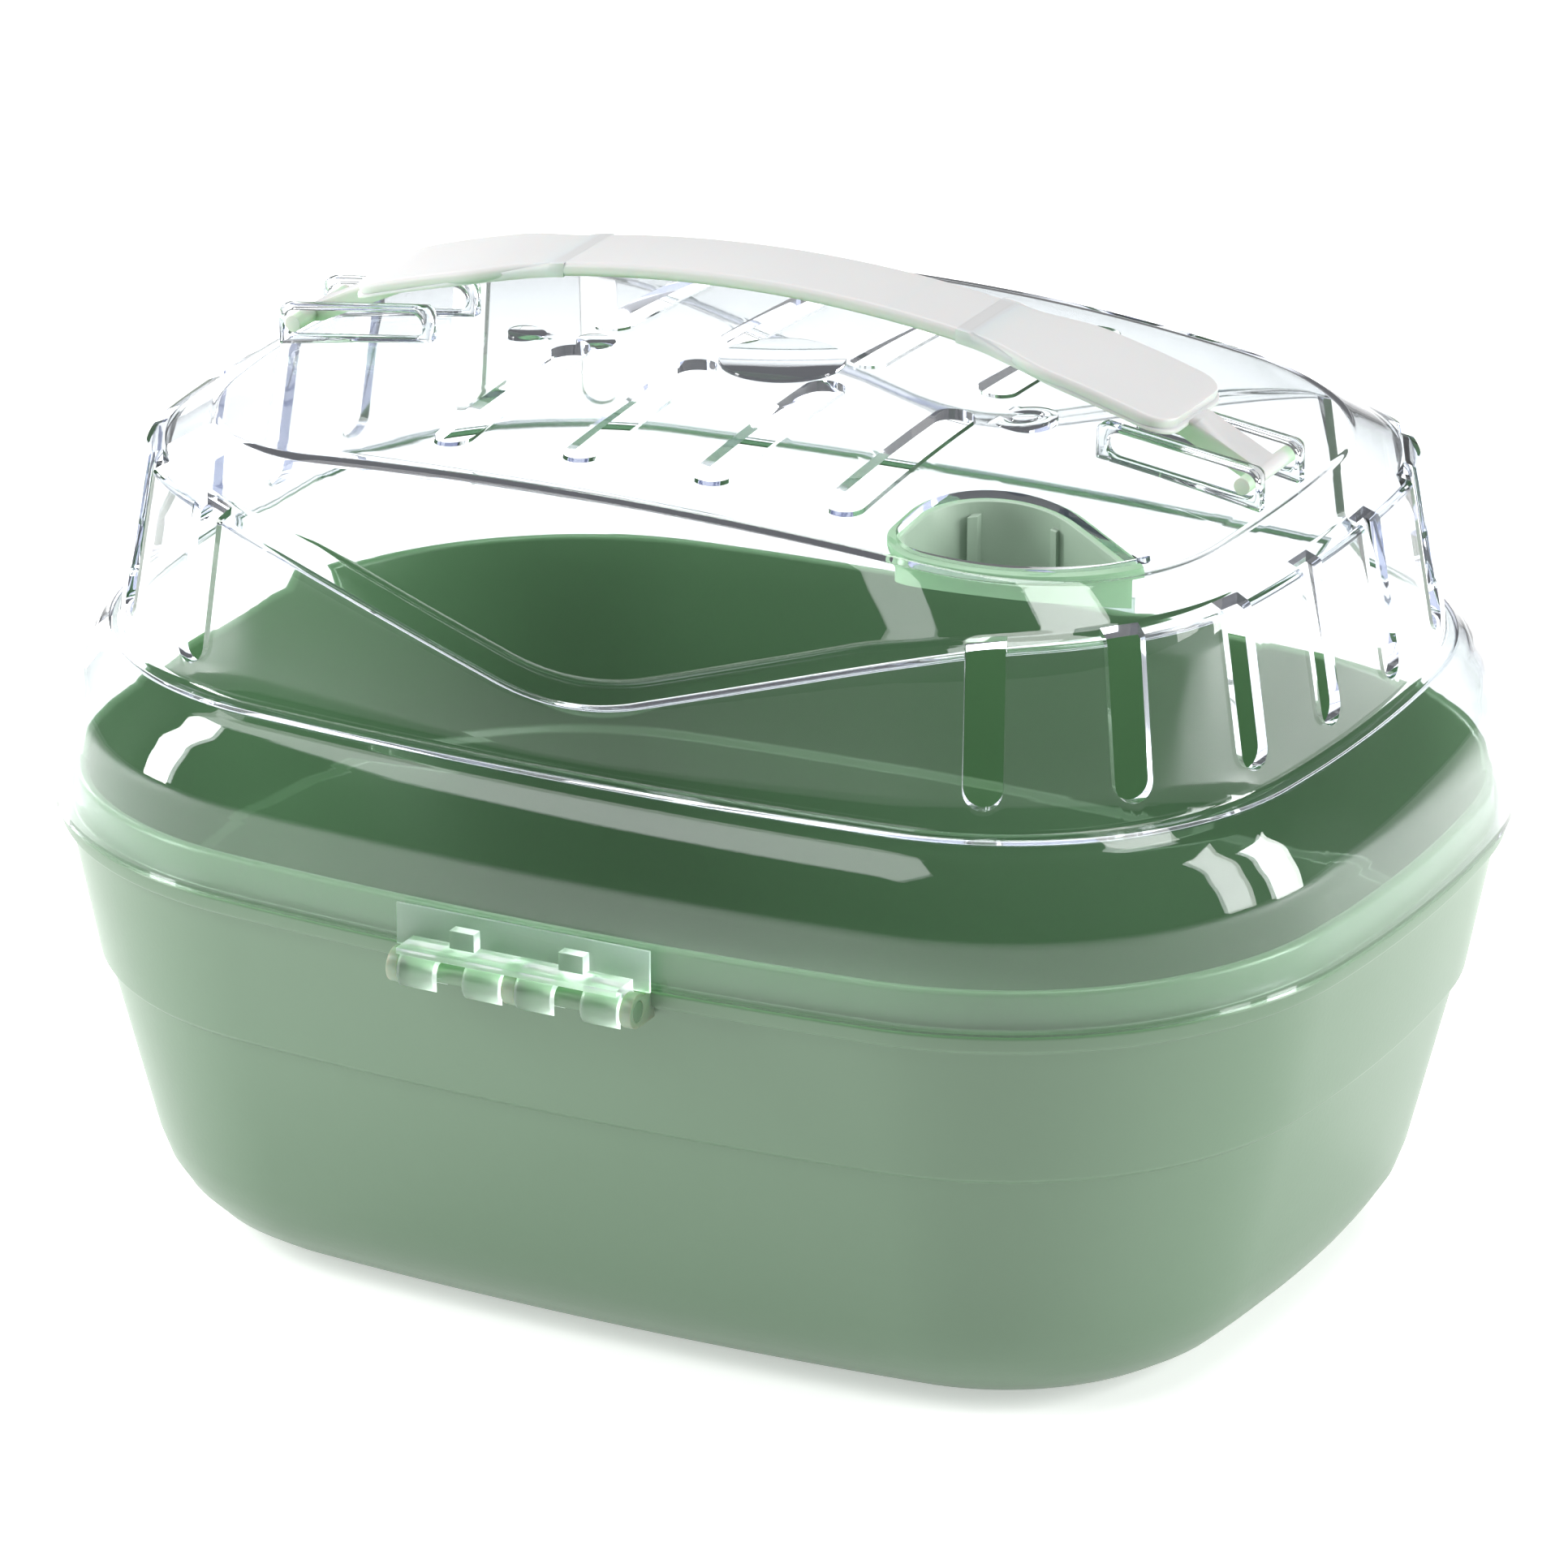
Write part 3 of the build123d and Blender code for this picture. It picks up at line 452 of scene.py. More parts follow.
@dataclass(frozen=True)
class ClearPlastic:
    """Water-clear moulded plastic that lets light through to what is inside; the light it lets through
    is dimmed and greened as painted shade on the inside.
    """

    name: str = "clear styrene"
    colour: tuple[float, float, float] = (0.880, 0.905, 0.925)
    # shade: tint of the shadow and diffuse rays that pass the lid; painted shade that darkens and greens
    # the tub's inside.
    shade: tuple[float, float, float] = (0.82, 1.00, 0.82)
    # Rays that have bounced or passed through many times go straight through with this grey-blue tint:
    # painted shade for the lines along the lid's edges and layers.
    painted_late_shade: tuple[float, float, float] = (0.70, 0.72, 0.79)
    roughness: float = 0.02
    ior: float = 1.46
    bounces_seen: float = 2.5
    layers_seen: float = 7.5

    def build(self, group: bpy.types.NodeTree) -> bpy.types.Material:
        """Make the material.

        Args:
            group: The moulded grain group.

        Returns:
            The finished material.
        """
        material = bpy.data.materials.new(self.name)
        material.use_nodes = True
        nodes, links = material.node_tree.nodes, material.node_tree.links
        shader = nodes["Principled BSDF"]
        shader.inputs["Base Color"].default_value = (*self.colour, 1.0)
        shader.inputs["Roughness"].default_value = self.roughness
        shader.inputs["IOR"].default_value = self.ior
        shader.inputs["Transmission Weight"].default_value = 1.0
        grain = nodes.new("ShaderNodeGroup")
        grain.node_tree = group
        grain.inputs["Grain Scale"].default_value = 260.0
        grain.inputs["Wave Scale"].default_value = 14.0
        grain.inputs["Wave Share"].default_value = 0.99
        bump = nodes.new("ShaderNodeBump")
        bump.inputs["Strength"].default_value = 0.03
        bump.inputs["Distance"].default_value = 0.0012
        links.new(grain.outputs["Height"], bump.inputs["Height"])
        links.new(bump.outputs["Normal"], shader.inputs["Normal"])
        path = nodes.new("ShaderNodeLightPath")
        late = self.either(
            material,
            self.above(material, path.outputs["Glossy Depth"], self.bounces_seen),
            self.above(material, path.outputs["Transmission Depth"], self.layers_seen),
        )
        # Shadow and diffuse rays pass straight through, taking on the painted shade tint.
        soft = self.either(material, path.outputs["Is Shadow Ray"], path.outputs["Is Diffuse Ray"])
        # Late rays pass through tinted with the painted grey-blue shade.
        seen = self.let_through(material, shader.outputs["BSDF"], late, self.painted_late_shade)
        lit = self.let_through(material, seen, soft, self.shade)
        links.new(lit, nodes["Material Output"].inputs["Surface"])
        return material

    @staticmethod
    def above(
        material: bpy.types.Material, value: bpy.types.NodeSocket, limit: float
    ) -> bpy.types.NodeSocket:
        """Output that is 1 where a value is above a limit and 0 elsewhere."""
        test = material.node_tree.nodes.new("ShaderNodeMath")
        test.operation = "GREATER_THAN"
        test.inputs[1].default_value = limit
        material.node_tree.links.new(value, test.inputs[0])
        return test.outputs["Value"]

    @staticmethod
    def either(
        material: bpy.types.Material, first: bpy.types.NodeSocket, second: bpy.types.NodeSocket
    ) -> bpy.types.NodeSocket:
        """Output that is 1 where either of two 0 or 1 values is 1."""
        largest = material.node_tree.nodes.new("ShaderNodeMath")
        largest.operation = "MAXIMUM"
        material.node_tree.links.new(first, largest.inputs[0])
        material.node_tree.links.new(second, largest.inputs[1])
        return largest.outputs["Value"]

    @staticmethod
    def let_through(
        material: bpy.types.Material,
        shader: bpy.types.NodeSocket,
        when: bpy.types.NodeSocket,
        tint: tuple[float, float, float],
    ) -> bpy.types.NodeSocket:
        """Let some rays pass straight through a shader.

        Args:
            material: The material that holds the nodes.
            shader: Output of the shader that the other rays meet.
            when: Output that is 1 for the rays that pass.
            tint: Colour that the passing rays take on.

        Returns:
            Output of the combined shader.
        """
        nodes, links = material.node_tree.nodes, material.node_tree.links
        clear = nodes.new("ShaderNodeBsdfTransparent")
        clear.inputs["Color"].default_value = (*tint, 1.0)
        choose = nodes.new("ShaderNodeMixShader")
        links.new(when, choose.inputs["Fac"])
        links.new(shader, choose.inputs[1])
        links.new(clear.outputs["BSDF"], choose.inputs[2])
        return choose.outputs["Shader"]


class Finish(Enum):
    """The finishes of the carrier."""

    TUB = MouldedPlastic(
        "sage tub plastic",
        colour=(0.112, 0.184, 0.116),
        worn_colour=(0.124, 0.198, 0.128),
        roughness=0.32,
        grain_scale=900.0,
        wave_scale=9.0,
        bump=0.10,
    )
    CUP = MouldedPlastic(
        "sage cup plastic",
        colour=(0.33, 0.43, 0.345),
        worn_colour=(0.36, 0.46, 0.375),
        roughness=0.36,
        grain_scale=900.0,
        wave_scale=14.0,
        bump=0.10,
    )
    LATCH = MouldedPlastic(
        "hinge plastic",
        colour=(0.190, 0.262, 0.186),
        worn_colour=(0.210, 0.284, 0.204),
        roughness=0.30,
        grain_scale=700.0,
        wave_scale=40.0,
        bump=0.12,
        glow=0.3,
    )
    STRAP = MouldedPlastic(
        "white strap plastic",
        colour=(0.50, 0.50, 0.50),
        worn_colour=(0.53, 0.53, 0.53),
        roughness=0.42,
        grain_scale=1100.0,
        wave_scale=18.0,
        bump=0.10,
        glow=0.12,
    )
    CLEAR = ClearPlastic()
    FROSTED = ClearPlastic("frosted styrene", roughness=0.35)


class Finishes:
    """The carrier's materials, each built once."""

    def __init__(self) -> None:
        """Build the shared group and every finish."""
        group = build_grain_group()
        self.made = {finish: finish.value.build(group) for finish in Finish}

    def put(self, piece: bpy.types.Object, finish: Finish) -> None:
        """Dress a piece in a finish."""
        dress(piece, self.made[finish])


# ------------------------------------------------------------------ sub-assemblies
@dataclass
class Tub:
    """Open tub with a step round its wall, a rim flange and an upstand inside the lid."""

    finishes: Finishes
    floor_inset: float = 0.0247
    bottom_radius: float = 0.028
    step_height: float = 0.060
    lower_top_inset: float = 0.0098
    upper_foot_inset: float = 0.0081
    upper_top_inset: float = 0.0022
    rim_height: float = 0.092
    flange_top: float = 0.0957
    upstand_inset: float = 0.0038
    upstand_top: float = 0.1037
    wall: float = 0.0024
    floor: float = 0.003
    seat_length: float = 0.056
    seat_depth: float = 0.010
    seat_height: float = 0.011
    seat_middle: float = 0.0915

    def profile(self) -> Ring:
        """Section of the tub from the middle of its underside to the middle of its floor.

        Returns:
            Points whose x is the inset from the rim outline and whose z is the height.
        """
        wall = self.wall
        inner_foot = self.floor_inset + wall - 0.0006
        inner_step = self.lower_top_inset + wall
        bends = [
            (self.floor_inset + 0.050, 0.0, 0.0),
            (self.floor_inset, 0.0, self.bottom_radius),
            (self.lower_top_inset, self.step_height - 0.0004, 0.0004),
            (self.upper_foot_inset, self.step_height + 0.0008, 0.0014),
            (self.upper_top_inset, self.rim_height - 0.0008, 0.0010),
            (0.0002, self.rim_height, 0.0010),
            (-0.0002, self.flange_top, 0.0009),
            (self.upstand_inset - 0.0002, self.flange_top, 0.0004),
            (self.upstand_inset, self.upstand_top, 0.0011),
            (self.upstand_inset + wall, self.upstand_top, 0.0011),
            (self.upper_foot_inset + wall, self.step_height + 0.0006, 0.0010),
            (inner_step, self.step_height - 0.0006, 0.0010),
            (inner_foot, self.floor, self.bottom_radius - wall),
            (inner_foot + 0.045, self.floor, 0.0),
        ]
        run = [(Vector((inset, 0.0, z)), radius) for inset, z, radius in bends]
        splits = [2, 6, 1, 5, 1, 1, 1, 2, 1, 6, 1, 6, 2]
        return rounded_run(run, splits, 6)

    def build(self) -> bpy.types.Object:
        """Grow the tub ring by ring, close both floors and cut the bracket seats."""
        columns = RIM.columns()
        profile = self.profile()
        surface = RingSurface("tub_shell", [c.at(profile[0].x, profile[0].z) for c in columns])
        surface.close()
        for point in profile[1:]:
            surface.grow([c.at(point.x, point.z) for c in columns])
        surface.close()
        tub = surface.finish()
        face_outwards(tub)
        combine(tub, self.bracket_seats(), "DIFFERENCE")
        smooth_by_angle(tub, 40)
        self.finishes.put(tub, Finish.TUB)
        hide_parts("tub")
        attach(tub, "tub")
        return tub

    def bracket_seats(self) -> list[bpy.types.Object]:
        """Cutters for the seats of the two hinge brackets under the rim."""
        seats = []
        middle = RIM.half_width - self.upper_top_inset + self.seat_depth / 2
        for side in (-1.0, 1.0):
            deselect_all()
            bpy.ops.mesh.primitive_cube_add(size=1.0, location=(0.0, side * middle, self.seat_middle))
            bpy.ops.transform.resize(value=(self.seat_length, self.seat_depth, self.seat_height))
            bpy.ops.object.transform_apply()
            seats.append(bpy.context.object)
        return seats


@dataclass
class Lid:
    """Clear lid: bulged skirt, leaning vented wall, V-shaped front and back, domed roof."""

    finishes: Finishes
    # Each bend: inset from the rim, share of the skirt's height and the bend's radius.
    skirt_bends: tuple[tuple[float, float, float], ...] = (
        (-0.0011, 0.0, 0.0),
        (0.0006, 0.52, 0.060),
        (0.0026, 0.66, 0.030),
        (0.0051, 0.785, 0.020),
        (0.0086, 0.902, 0.010),
    )
    wall: float = 0.0024
    skirt_bottom: float = 0.0960
    wall_foot: float = 0.1345
    foot_inset: float = 0.0139
    shoulder: float = 0.1716
    shoulder_inset: float = 0.0199
    foot_ledge: float = 0.0024
    ledge_width: float = 0.0042
    ledge_rise: float = 0.0016
    v_depth: float = 0.027
    v_half_span: float = 0.088
    v_bottom_radius: float = 0.055
    v_ledge_width: float = 0.0063
    v_ledge_rise: float = 0.0035
    v_ledge_blend: float = 0.008
    v_run_out: float = 0.004
    v_lift: float = 0.0002
    roof_start: float = 0.90
    vent_width: float = 0.0082
    vent_length: float = 0.0315
    vent_pitch: float = 0.0295
    vents_per_end: int = 8
    vent_cutter_length: float = 0.065
    vent_reach: float = 0.0136
    vent_overshoot: float = 0.008
    slot_width: float = 0.0088
    slot_pitch: float = 0.0298
    slot_near: float = 0.0102
    slot_far: float = 0.0592
    slot_cutter_reach: float = 0.020
    port_left: float = 0.0583
    port_right: float = 0.1052
    port_back: float = 0.0226
    port_back_slant: float = 28.8
    port_back_radius: float = 0.0187
    port_right_radius: float = 0.006
    port_front_radius: float = 0.008
    port_margin: float = 0.005
    port_arc_share: float = 0.85
    cutter_below: float = 0.030
    cutter_above: float = 0.010
    # Each disc: its place on the roof and its radius.
    discs_at: tuple[tuple[float, float, float], ...] = (
        (0.0, 0.0, 0.0134),
        (0.0572, -0.0028, 0.0070),
        (-0.0416, -0.0041, 0.0042),
        (-0.0588, -0.0025, 0.0042),
    )
    disc_height: float = 0.0007
    disc_depth: float = 0.0018
    disc_rounding: float = 0.0003
    plain_disc: float = 0.005
    ring_share: float = 0.42
    ring_slope: float = 0.0004
    ring_width: float = 0.0007
    ring_depth: float = 0.0005
    pad_rise: float = 0.0004

    def shoulder_height(self, x: float) -> float:
        """Height of the wall's top edge at a distance along the front or back."""
        slope = self.v_depth / self.v_half_span
        angle = atan2(self.v_depth, self.v_half_span)
        touch = self.v_bottom_radius * sin(angle)
        apex = self.shoulder - self.v_depth
        if abs(x) < touch:
            low = apex + touch * slope - self.v_bottom_radius * (1 - cos(angle))
            dip = low + self.v_bottom_radius - sqrt(self.v_bottom_radius**2 - x * x)
        else:
            dip = apex + abs(x) * slope
        gap = dip - self.shoulder
        return (dip + self.shoulder - sqrt(gap * gap + self.v_run_out**2)) / 2 + self.v_lift

    def wall_inset(self, z: float) -> float:
        """Inset of the leaning wall's outer face at a height."""
        share = (z - self.wall_foot) / (self.shoulder - self.wall_foot)
        return self.foot_inset + (self.shoulder_inset - self.foot_inset) * share

    def column_run(self, column: Column, crest: Column) -> Ring:
        """One column of the lid's outer face, from the skirt's edge to the roof's edge.

        Args:
            column: The column of the rim outline.
            crest: The matching column of the roof's edge.

        Returns:
            Points from bottom to top.
        """
        skirt = self.wall_foot - self.skirt_bottom
        edge = crest.at(0.0, 0.0)
        edge.z = DOME.height(edge.x, edge.y)
        inner_edge = edge * self.roof_start
        inner_edge.z = DOME.height(inner_edge.x, inner_edge.y)
        guess = column.at(self.shoulder_inset, 0.0)
        top = self.shoulder_height(guess.x)
        depth = min(max((self.shoulder - top) / self.v_ledge_blend, 0.0), 1.0)
        width = self.ledge_width + (self.v_ledge_width - self.ledge_width) * depth
        rise = self.ledge_rise + (self.v_ledge_rise - self.ledge_rise) * depth
        inset = self.wall_inset(top)
        bends = [
            (column.at(out, self.skirt_bottom + share * skirt), radius)
            for out, share, radius in self.skirt_bends
        ]
        bends += [
            (column.at(self.foot_inset - self.foot_ledge, self.wall_foot - 0.0014), 0.0008),
            (column.at(self.foot_inset - 0.0002, self.wall_foot - 0.0008), 0.0009),
            (column.at(inset, top), 0.0013),
            (column.at(inset + width, top + rise), 0.0015),
            (edge, 0.0032),
            (inner_edge, 0.0),
        ]
        return rounded_run(bends, [3, 1, 1, 1, 1, 1, 6, 2, 7, 3], 4)

    def outer_face(self) -> bpy.types.Object:
        """Grow the outer face and close the roof."""
        rims = RIM.columns()
        crests = ROOF_EDGE.columns()
        runs = [self.column_run(rim, crest) for rim, crest in zip(rims, crests)]
        surface = RingSurface("lid_shell", [run[0] for run in runs])
        for row in range(1, len(runs[0])):
            surface.grow([run[row] for run in runs])
        rings = 16
        for k in range(1, rings):
            share = 1 - k / rings
            ring = []
            for run in runs:
                x, y = run[-1].x * share, run[-1].y * share
                ring.append(Vector((x, y, DOME.height(x, y))))
            surface.grow(ring)
        surface.close()
        return surface.finish()

    def upright_slot(self, width: float, length: float, height: float) -> bpy.types.Object:
        """Cutter with rounded ends, its length along Y and its middle at the origin.

        Args:
            width: Width of the slot.
            length: Length of the slot over its round ends.
            height: Height of the cutter.

        Returns:
            The cutter.
        """
        deselect_all()
        bpy.ops.mesh.primitive_cube_add(size=1.0)
        bpy.ops.transform.resize(value=(width, length, height))
        bpy.ops.object.transform_apply()
        cutter = bpy.context.object
        bpy.ops.object.mode_set(mode="EDIT")
        bpy.ops.mesh.select_mode(type="EDGE")
        bpy.ops.mesh.select_all(action="DESELECT")
        mesh = bmesh.from_edit_mesh(cutter.data)
        for edge in mesh.edges:
            first, second = edge.verts
            edge.select_set(abs(first.co.z - second.co.z) > height / 2)
        bmesh.update_edit_mesh(cutter.data)
        bpy.ops.mesh.bevel(offset=width * 0.499, segments=8, affect="EDGES")
        bpy.ops.object.mode_set(mode="OBJECT")
        return cutter

    def roof_slots(self) -> list[bpy.types.Object]:
        """Cutters for the two rows of roof slots."""
        cutters = []
        length = self.slot_far - self.slot_near + self.slot_width
        for row in (-1.0, 1.0):
            for k in (-1.5, -0.5, 0.5, 1.5):
                cutter = self.upright_slot(self.slot_width, length, 2 * self.slot_cutter_reach)
                y = row * (self.slot_near + self.slot_far) / 2
                cutter.location = (k * self.slot_pitch, y, DOME.top)
                bpy.ops.object.transform_apply()
                cutters.append(cutter)
        return cutters

    def vent_place(self, distance: float) -> tuple[float, float, float]:
        """Plan point and outward angle on the shoulder, a distance from an end's middle."""
        x, y, low, high = RIM.corner()
        inset = self.shoulder_inset - 0.002
        end_x = RIM.half_length - RIM.end_radius
        side_y = RIM.half_width - RIM.side_radius
        end_r = RIM.end_radius - inset
        corner_r = RIM.corner_radius - inset
        side_r = RIM.side_radius - inset
        left = abs(distance)
        sign = 1.0 if distance >= 0 else -1.0
        if left <= end_r * low:
            angle = left / end_r
            place = (end_x + end_r * cos(angle), end_r * sin(angle))
        elif left <= end_r * low + corner_r * (high - low):
            angle = low + (left - end_r * low) / corner_r
            place = (x + corner_r * cos(angle), y + corner_r * sin(angle))
        else:
            angle = high + (left - end_r * low - corner_r * (high - low)) / side_r
            place = (side_r * cos(angle), side_y + side_r * sin(angle))
        return place[0], sign * place[1], sign * angle

    def vents(self) -> list[bpy.types.Object]:
        """Cutters for the slots down both ends of the wall."""
        cutters = []
        low = self.shoulder + 0.002 - self.vent_length - self.vent_width / 2
        length = self.vent_cutter_length
        for end in (1.0, -1.0):
            for k in range(self.vents_per_end):
                x, y, angle = self.vent_place((k - (self.vents_per_end - 1) / 2) * self.vent_pitch)
                cutter = self.upright_slot(self.vent_width, length, self.vent_reach)
                cutter.rotation_euler = (pi / 2, 0.0, pi / 2)
                bpy.ops.object.transform_apply()
                middle = self.vent_overshoot - self.vent_reach / 2
                cutter.location = (middle, 0.0, low + length / 2)
                bpy.ops.object.transform_apply()
                cutter.rotation_euler = (0.0, 0.0, angle)
                cutter.location = (x, y, 0.0)
                if end < 0:
                    cutter.rotation_euler = (0.0, 0.0, pi - angle)
                    cutter.location = (-x, y, 0.0)
                bpy.ops.object.transform_apply()
                cutters.append(cutter)
        return cutters

    def port_outline(self) -> Ring:
        """Plan of the feeding port: an upright left edge, a slanting back and the roof's curve."""
        radius = self.port_front_radius
        inner = [(c, c.at(self.port_margin + radius, 0.0)) for c in ROOF_EDGE.columns()]
        front = [(c, point) for c, point in inner if point.y < 0 and point.x > self.port_left + radius]
        front.sort(key=lambda item: item[1].x)
        first, centre = front[0]
        centre = Vector((self.port_left + radius, centre.y, 0.0))
        outline = []
        for k in range(9):
            angle = -pi + (first.angle - 2 * pi + pi) * k / 8
            outline.append(centre + Vector((radius * cos(angle), radius * sin(angle), 0.0)))
        along = [c.at(self.port_margin, 0.0) for c, _ in front]
        outline += [point for point in along[1:] if point.x < self.port_right - 0.0005]
        slant = tan(radians(self.port_back_slant))
        right_back = -self.port_back - slant * (self.port_right - self.port_left)
        last = outline[-1]
        bends = [
            (Vector((self.port_right, last.y + 0.0012, 0.0)), 0.0),
            (Vector((self.port_right, right_back, 0.0)), self.port_right_radius),
            (Vector((self.port_left, -self.port_back, 0.0)), self.port_back_radius),
            (outline[0], 0.0),
        ]
        return outline + rounded_run(bends, [2, 4, 2], 16, self.port_arc_share)[:-1]

    def port_cutter(self) -> bpy.types.Object:
        """Upright cutter over the feeding port's plan."""
        outline = self.port_outline()
        low = Vector((0.0, 0.0, DOME.top - self.cutter_below))
        high = Vector((0.0, 0.0, DOME.top + self.cutter_above))
        surface = RingSurface("port_cutter", [point + low for point in outline])
        surface.close()
        surface.grow([point + high for point in outline])
        surface.close()
        cutter = surface.finish()
        face_outwards(cutter)
        return cutter

    def discs(self) -> list[bpy.types.Object]:
        """Plain round bosses moulded on the roof."""
        made = []
        for x, y, radius in self.discs_at:
            deselect_all()
            top = DOME.height(x, y) + self.disc_height
            bpy.ops.mesh.primitive_cylinder_add(
                vertices=64,
                radius=radius,
                depth=self.disc_depth,
                location=(x, y, top - self.disc_depth / 2),
            )
            disc = bpy.context.object
            bpy.ops.object.mode_set(mode="EDIT")
            bpy.ops.mesh.select_all(action="SELECT")
            bpy.ops.transform.rotate(
                value=asin(x / DOME.radius), orient_axis="Y", center_override=(x, y, top)
            )
            bpy.ops.object.mode_set(mode="OBJECT")
            bpy.ops.object.transform_apply()
            if radius > self.plain_disc:
                self.sink_ring(disc, radius)
            round_edges(disc, self.disc_rounding, 2, 40)
            made.append(disc)
        return made

    def sink_ring(self, disc: bpy.types.Object, radius: float) -> None:
        """Sink a narrow ring into a disc's top, which leaves a round pad in its middle.

        Args:
            disc: The disc.
            radius: Its radius.
        """
        make_active(disc)
        top = max(disc.data.polygons, key=lambda polygon: polygon.center.z).index
        for polygon in disc.data.polygons:
            polygon.select = polygon.index == top
        bpy.ops.object.mode_set(mode="EDIT")
        bpy.ops.mesh.select_mode(type="FACE")
        bpy.ops.mesh.inset(thickness=radius * self.ring_share, depth=0.0)
        bpy.ops.mesh.inset(thickness=self.ring_slope, depth=-self.ring_depth)
        bpy.ops.mesh.inset(thickness=self.ring_width, depth=0.0)
        bpy.ops.mesh.inset(thickness=self.ring_slope, depth=self.pad_rise)
        bpy.ops.object.mode_set(mode="OBJECT")

    def build(self) -> bpy.types.Object:
        """Grow the lid, give it its wall, add the bosses and cut every opening."""
        lid = self.outer_face()
        face_outwards(lid)
        roof = max(lid.data.polygons, key=lambda polygon: polygon.center.z)
        if roof.normal.z < 0:
            lid.data.flip_normals()
        modifier = lid.modifiers.new("wall", "SOLIDIFY")
        modifier.thickness = self.wall
        modifier.offset = -1.0
        modifier.use_even_offset = True
        apply_modifier(lid, modifier)
        combine(lid, self.discs(), "UNION")
        combine(lid, self.roof_slots(), "DIFFERENCE")
        combine(lid, self.vents(), "DIFFERENCE")
        combine(lid, [self.port_cutter()], "DIFFERENCE")
        smooth_by_angle(lid, 40)
        self.finishes.put(lid, Finish.CLEAR)
        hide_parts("lid")
        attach(lid, "lid")
        return lid


@dataclass
class SmallMouldings:
    """The feeder cup, the hinge hardware and the handle rails, with rounded edges."""

    finishes: Finishes

    def build(self) -> list[bpy.types.Object]:
        """Copy each node, round it, dress it and put it on its body."""
        plan = [("feeder_cup", "lid", Finish.CUP, "cup_green", 0.0004)]
        for side in ("front", "rear"):
            plan.append((side + "_hinge_bracket", "tub", Finish.LATCH, "bracket_green", 0.0004))
            plan.append((side + "_hinge_rod", "tub", Finish.TUB, "bracket_green", 0.0002))
            plan.append((side + "_clip_plate", "lid", Finish.FROSTED, "lid_clear", 0.0003))
            for end in ("left", "right"):
                plan.append((f"{side}_{end}_rail", "lid", Finish.CLEAR, "lid_clear", 0.0004))
        made = []
        for node, body, finish, slot, rounding in plan:
            piece = softened_copy(node, node + "_moulding", rounding)
            self.finishes.put(piece, finish)
            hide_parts(node)
            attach(piece, body)
            made.append(piece)
        return made


